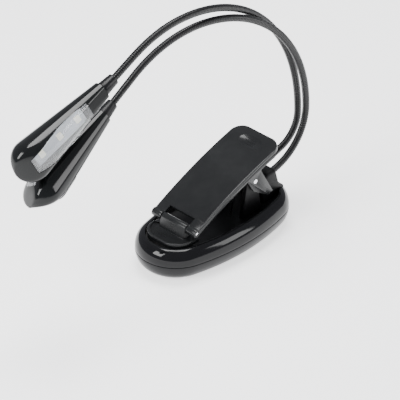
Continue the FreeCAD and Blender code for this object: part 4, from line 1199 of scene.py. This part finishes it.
@dataclass
class Head:
    """One lamp head: two glossy half shells, a lens in its face and a button in its back."""

    arm: str
    length: float = 69.0
    neck_radius: float = 5.3
    tip_radius: float = 12.0
    face_neck: float = 4.3
    face_wide: float = 9.9
    face_run: float = 46.0
    back_neck: float = 4.3
    back_wide: float = 8.8
    back_run: float = 48.0
    wall: float = 1.3
    neck_crease: float = 34.0
    tip_crease: float = 7.0
    crease_fade: ClassVar[Pair] = (34.0, 56.0)
    lens_start: float = 14.4
    lens_end: float = 60.0
    lens_half_width: float = 6.7
    lens_side_radius: float = 110.0
    lens_proud: float = 0.12
    lens_thickness: float = 1.3
    button_centre: float = 45.0
    button_length: float = 18.5
    button_width: float = 9.0
    cap_profile: ClassVar[tuple[Pair, ...]] = ((-0.05, -1.2), (-0.05, 0.55), (-0.3, 0.85), (-0.9, 1.02),
                                               (-2.2, 1.1), (-3.6, 1.12))
    stations: int = 84
    around: int = 60

    def __post_init__(self) -> None:
        """Finds the head's own axes from its joints: X towards the tip, Z out of the lens."""
        self.origin = pivot("head_%s_twist" % self.arm)
        self.along = Vector(joint("head_%s_twist" % self.arm)["axis"]).normalized()
        self.out = Vector(joint("head_%s_button_press" % self.arm)["axis"]).normalized()
        self.side = self.out.cross(self.along)
        self.body = "head_%s" % self.arm

    def spot(self, x: float, y: float, z: float) -> Vector:
        """A point of the head's own frame, in the lamp's frame."""
        return self.origin + self.along * x + self.side * y + self.out * z

    def radius(self, x: float, inset: float = 0.0) -> float:
        """The turned form's radius at a station."""
        tip, neck = self.tip_radius - inset, self.neck_radius - inset
        centre = self.length - self.tip_radius
        reach = math.hypot(centre, neck)
        touch = math.atan2(neck, -centre) - math.acos(tip / reach)
        touch_x = centre + tip * math.cos(touch)
        if x <= touch_x:
            return neck + (tip * math.sin(touch) - neck) * max(x, 0) / touch_x
        return math.sqrt(max(tip ** 2 - (x - centre) ** 2, 0.0))

    def flat(self, x: float, neck: float, wide: float, run: float, inset: float = 0.0) -> float:
        """How far out the flat face or back lies at a station: a straight slope, then an arc to the tip."""
        neck, wide = neck - inset, wide - inset
        if x <= run:
            return neck + (wide - neck) * x / run
        end = self.length + 0.4 - inset
        slope = Vector((run, wide - neck)).normalized()
        normal = Vector((-slope.y, slope.x))
        chord = Vector((end - run, -wide))
        radius = chord.dot(chord) / (2 * chord.dot(normal))
        centre = Vector((run, wide)) + normal * radius
        return centre.y + math.sqrt(max(radius ** 2 - (x - centre.x) ** 2, 0.0))

    def reach(self, x: float, angle: float, radius: float, flat: float) -> float:
        """How far the skin lies from the axis: the turned form or the flat, the crease fading to the tip.

        Args:
            x: The station.
            angle: The turn from the parting line.
            radius: The turned form's radius there.
            flat: How far out the flat lies there.

        Returns:
            The distance from the head's axis.
        """
        start, end = self.crease_fade
        fade = min(max((x - start) / (end - start), 0.0), 1.0)
        crease = self.neck_crease * (self.tip_crease / self.neck_crease) ** fade
        limit = flat / max(math.sin(angle), 1e-4)
        return (max(radius, 1e-3) ** -crease + max(limit, 1e-3) ** -crease) ** (-1 / crease)

    def half_ring(self, x: float, sign: int, inset: float = 0.0) -> list[Vector]:
        """Half a cross-section, from one side of the parting line to the other.

        Args:
            x: The station.
            sign: 1 for the face's half, -1 for the back's.
            inset: How far inside the skin it lies.

        Returns:
            Its points in the lamp's frame.
        """
        radius = self.radius(x, inset)
        face = (self.face_neck, self.face_wide, self.face_run)
        back = (self.back_neck, self.back_wide, self.back_run)
        flat = self.flat(x, *(face if sign > 0 else back), inset)
        points = []
        for step in range(self.around + 1):
            angle = math.pi * step / self.around
            reach = self.reach(x, angle, radius, flat)
            points.append(self.spot(x, reach * math.cos(angle), sign * reach * math.sin(angle)))
        return points

    def half_shell(self, name: str, sign: int) -> bpy.types.Object:
        """One half of the casing, hollow, with a rounded lip along the parting line.

        Args:
            name: The piece's name.
            sign: 1 for the face's half, -1 for the back's.

        Returns:
            The half shell.
        """
        centre = self.length - self.tip_radius
        straight_share = self.stations * 0.55
        straight = [centre * (k / straight_share) for k in range(int(straight_share))]
        tip_count = self.stations - len(straight)
        curved = [centre + (self.tip_radius - 0.02) * math.sin(math.pi / 2 * k / tip_count)
                  for k in range(tip_count + 1)]
        outer_stations = straight + curved
        rings = [self.half_ring(x, sign) for x in outer_stations]
        inner_stations = [min(max(x, self.wall), self.length - self.wall - 0.05) for x in outer_stations]
        inner = [self.half_ring(x, sign, self.wall) for x in inner_stations]
        points, faces = loft(rings, False, False, closed=False)
        offset = len(points)
        inner_points, inner_faces = loft(inner, False, False, closed=False)
        points += inner_points
        faces += [tuple(i + offset for i in reversed(f)) for f in inner_faces]
        width = self.around + 1
        rows = len(rings)
        for row in range(rows - 1):
            for edge in (0, width - 1):
                a, b = row * width + edge, (row + 1) * width + edge
                faces.append((a, b, b + offset, a + offset))
        for row in (0, rows - 1):
            for step in range(width - 1):
                a, b = row * width + step, row * width + step + 1
                faces.append((a, b, b + offset, a + offset))
        return new_piece(name, points, faces, HEAD_BLACK, Shade.BY_ANGLE)

    def prism(self, name: str, outline: Sequence[Pair], low: float, high: float) -> bpy.types.Object:
        """A straight-sided block on the head's own axes."""
        rings = [[self.spot(x, y, z) for x, y in outline] for z in (low, high)]
        return new_piece(name, *loft(rings), HEAD_BLACK, Shade.BY_ANGLE)

    def lens_half(self, x: float, clearance: float = 0.0) -> float:
        """Half the lens's width at a station, on its bellied sides."""
        past = x - (self.lens_start + self.lens_end) / 2
        sag = self.lens_side_radius - math.sqrt(self.lens_side_radius ** 2 - past ** 2)
        return self.lens_half_width + clearance - sag

    def lens_outline(self, clearance: float) -> list[Pair]:
        """The lens's plan: straight ends and bellied sides."""
        start, end = self.lens_start - clearance, self.lens_end + clearance
        points = []
        for sign in (-1, 1):
            for step in range(25):
                x = start + (end - start) * step / 24
                if sign > 0:
                    x = end - (x - start)
                points.append((x, sign * self.lens_half(x, clearance)))
        return points

    def oval_outline(self, grow: float) -> list[Pair]:
        """The button's plan: a slot with two round ends."""
        radius = self.button_width / 2 + grow
        reach = (self.button_length - self.button_width) / 2
        points = []
        for sign in (1, -1):
            for step in range(21):
                angle = math.pi * step / 20 - math.pi / 2
                points.append((self.button_centre + sign * (reach + radius * math.cos(angle)),
                               sign * radius * math.sin(angle)))
        return points

    def build(self) -> None:
        """Makes the shells, lens, button and collar, and dresses what is inside."""
        front = self.half_shell("head_%s_front_casing" % self.arm, 1)
        carve(front, self.prism("lens_cutter", self.lens_outline(0.1), 2.0, 14.0))
        settle(front, self.body, HEAD_BLACK, "head_%s_front_shell" % self.arm)
        back = self.half_shell("head_%s_back_casing" % self.arm, -1)
        carve(back, self.prism("button_cutter", self.oval_outline(0.25), -14.0, -3.0))
        settle(back, self.body, HEAD_BLACK, "head_%s_back_shell" % self.arm)
        self.lens()
        self.button()
        node = "neck_%s_collar" % self.arm
        collar = soften(copy_of(node, node + "_sleeve", COLLAR_BLACK), 0.3)
        settle(collar, "collar_%s" % self.arm, COLLAR_BLACK, "neck_%s_collar" % self.arm)
        for name, finish in (("led_board", BOARD_WHITE), ("leds", LED_YELLOW), ("reflector", TRAY_WHITE),
                             ("switch", INLET_BLACK)):
            finish.dress(frame["nodes"]["head_%s_%s" % (self.arm, name)])

    def skin_height(self, x: float, y: float) -> float:
        """How far out the front skin lies above a point of the head's plan."""
        radius = self.radius(x)
        flat = self.flat(x, self.face_neck, self.face_wide, self.face_run)
        low, high = 0.0, math.pi / 2
        for _ in range(24):
            middle = (low + high) / 2
            beyond = self.reach(x, middle, radius, flat) * math.cos(middle) > abs(y)
            low, high = (middle, high) if beyond else (low, middle)
        return self.reach(x, low, radius, flat) * math.sin(low)

    def lens(self) -> None:
        """The clear lens, following the skin, with a rim that turns down into the casing."""
        columns, rows = 48, 16
        upper: list[list[Vector]] = []
        lower: list[list[Vector]] = []
        for column in range(columns + 1):
            x = self.lens_start + (self.lens_end - self.lens_start) * column / columns
            half = self.lens_half(x)
            above, below = [], []
            for row in range(rows + 1):
                y = -half + 2 * half * row / rows
                height = self.skin_height(x, y)
                edge = min(row, rows - row, column, columns - column)
                above.append(self.spot(x, y, height + (0.0 if edge == 0 else self.lens_proud)))
                below.append(self.spot(x, y, height - self.lens_thickness))
            upper.append(above)
            lower.append(below)
        lens = new_piece("head_%s_lens_cover" % self.arm, *slab(upper, lower), LENS_CLEAR, Shade.BY_ANGLE)
        settle(lens, self.body, LENS_CLEAR, "head_%s_lens" % self.arm)

    def button(self) -> None:
        """The push button in the back: an oval cap with a domed top."""
        base = self.back_level(self.button_centre)
        slope = (self.back_wide - self.back_neck) / self.back_run
        rings = []
        for grow, rise in self.cap_profile:
            rings.append([self.spot(x, y, -(base + (x - self.button_centre) * slope + rise))
                          for x, y in self.oval_outline(grow)])
        button = new_piece("head_%s_button_cap" % self.arm, *loft(rings), BUTTON_BLACK, Shade.BY_ANGLE)
        settle(button, "button_%s" % self.arm, BUTTON_BLACK, "head_%s_button" % self.arm)

    def back_level(self, x: float) -> float:
        """How far out the flat back lies at a station."""
        return self.flat(x, self.back_neck, self.back_wide, self.back_run)


# ---------------------------------------------------------------- stage

def aimed(place: Vector, target: Vector) -> Matrix:
    """The matrix of a light or a camera at a place, looking at a target."""
    turn = (target - place).to_track_quat("-Z", "Y")
    return Matrix.Translation(place) @ turn.to_matrix().to_4x4()


@dataclass
class Stage:
    """A pale floor, soft studio lights and the camera."""

    azimuth: float = -45.7
    elevation: float = 34.2
    distance: float = 1743.0
    focal: float = 266.7
    aim_right: float = -7.5
    aim_up: float = 23.3

    def build(self) -> None:
        """Sets up the floor, the lights and the camera."""
        self.floor()
        self.lights()
        self.camera()

    def axes(self) -> tuple[Vector, Vector, Vector]:
        """The view's right, up and back directions."""
        a, e = math.radians(self.azimuth), math.radians(self.elevation)
        back = Vector((math.sin(a) * math.cos(e), -math.cos(a) * math.cos(e), math.sin(e)))
        right = Vector((math.cos(a), math.sin(a), 0.0))
        return right, back.cross(right), back

    def floor(self) -> None:
        """A wide pale floor under the feet."""
        size = 6.0
        under_feet = -0.05 * MM
        corners = [Vector((x * size, y * size, under_feet)) for x, y in ((-1, -1), (1, -1), (1, 1), (-1, 1))]
        mesh = bpy.data.meshes.new("floor")
        mesh.from_pydata(corners, [], [(0, 1, 2, 3)])
        floor = bpy.data.objects.new("floor", mesh)
        bpy.context.scene.collection.objects.link(floor)
        paper = bpy.data.materials.new("pale_paper")
        paper.use_nodes = True
        shader = paper.node_tree.nodes["Principled BSDF"]
        shader.inputs["Base Color"].default_value = (0.95, 0.95, 0.95, 1)
        shader.inputs["Roughness"].default_value = 0.9
        shader.inputs["Specular IOR Level"].default_value = 0.0
        shader.inputs["Emission Color"].default_value = (1, 1, 1, 1)
        shader.inputs["Emission Strength"].default_value = 1.3
        mesh.materials.append(paper)

    def lights(self) -> None:
        """Soft boxes above and to the sides, and a pale surround."""
        world = bpy.data.worlds.new("surround")
        bpy.context.scene.world = world
        world.use_nodes = True
        background = world.node_tree.nodes["Background"]
        background.inputs["Color"].default_value = (0.9, 0.93, 1.0, 1)
        background.inputs["Strength"].default_value = 0.5
        right, _, back = self.axes()
        level = Vector((back.x, back.y, 0)).normalized()
        target = Vector((-0.03, 0.0, 0.06))
        for name, offset, width, height, power in (
                ("overhead_box", Vector((0, 0, 1.1)) - level * 0.25, 0.6, 0.5, 15.0),
                ("left_box", -right * 0.75 + level * 0.55 + Vector((0, 0, 0.6)), 0.5, 0.6, 16.0),
                ("right_box", right * 1.1 + level * 0.2 + Vector((0, 0, 0.45)), 0.4, 0.6, 6.0)):
            self.area(name, target + offset, target, width, height, power)

    @staticmethod
    def area(name: str, place: Vector, target: Vector, width: float, height: float, power: float) -> None:
        """Adds one soft box aimed at a target."""
        light = bpy.data.lights.new(name, "AREA")
        light.shape = "RECTANGLE"
        light.size, light.size_y = width, height
        light.energy = power
        box = bpy.data.objects.new(name, light)
        box.matrix_world = aimed(place, target)
        bpy.context.scene.collection.objects.link(box)

    def camera(self) -> None:
        """A long lens that looks down at the lamp from the front left."""
        right, up, back = self.axes()
        data = bpy.data.cameras.new("camera")
        data.lens = self.focal
        data.sensor_width = 36.0
        data.clip_end = 20.0
        camera = bpy.data.objects.new("camera", data)
        place = back * self.distance * MM
        aim = (right * self.aim_right + up * self.aim_up) * MM
        camera.matrix_world = aimed(place, aim)
        bpy.context.scene.collection.objects.link(camera)
        bpy.context.scene.camera = camera


def main() -> None:
    """Builds the lamp piece by piece."""
    logging.basicConfig(level=logging.INFO, format="%(name)s: %(message)s")
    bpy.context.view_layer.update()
    Base().build()
    Clip().build()
    for route in (NeckRoute("a", root_run=19.1, rear_radius=19.9, top_radius=106.1, top_heading=178.7,
                            front_radius=82.8, end_heading=204.1, end_run=16.9, turn=2.2),
                  NeckRoute("b", root_run=6.5, rear_radius=32.5, top_radius=86.2, top_heading=176.7,
                            front_radius=74.6, end_heading=216.7, end_run=18.6, turn=-5.0)):
        Neck(route).build()
        Head(route.arm).build()
    Stage().build()


if __name__ == "__main__":
    main()
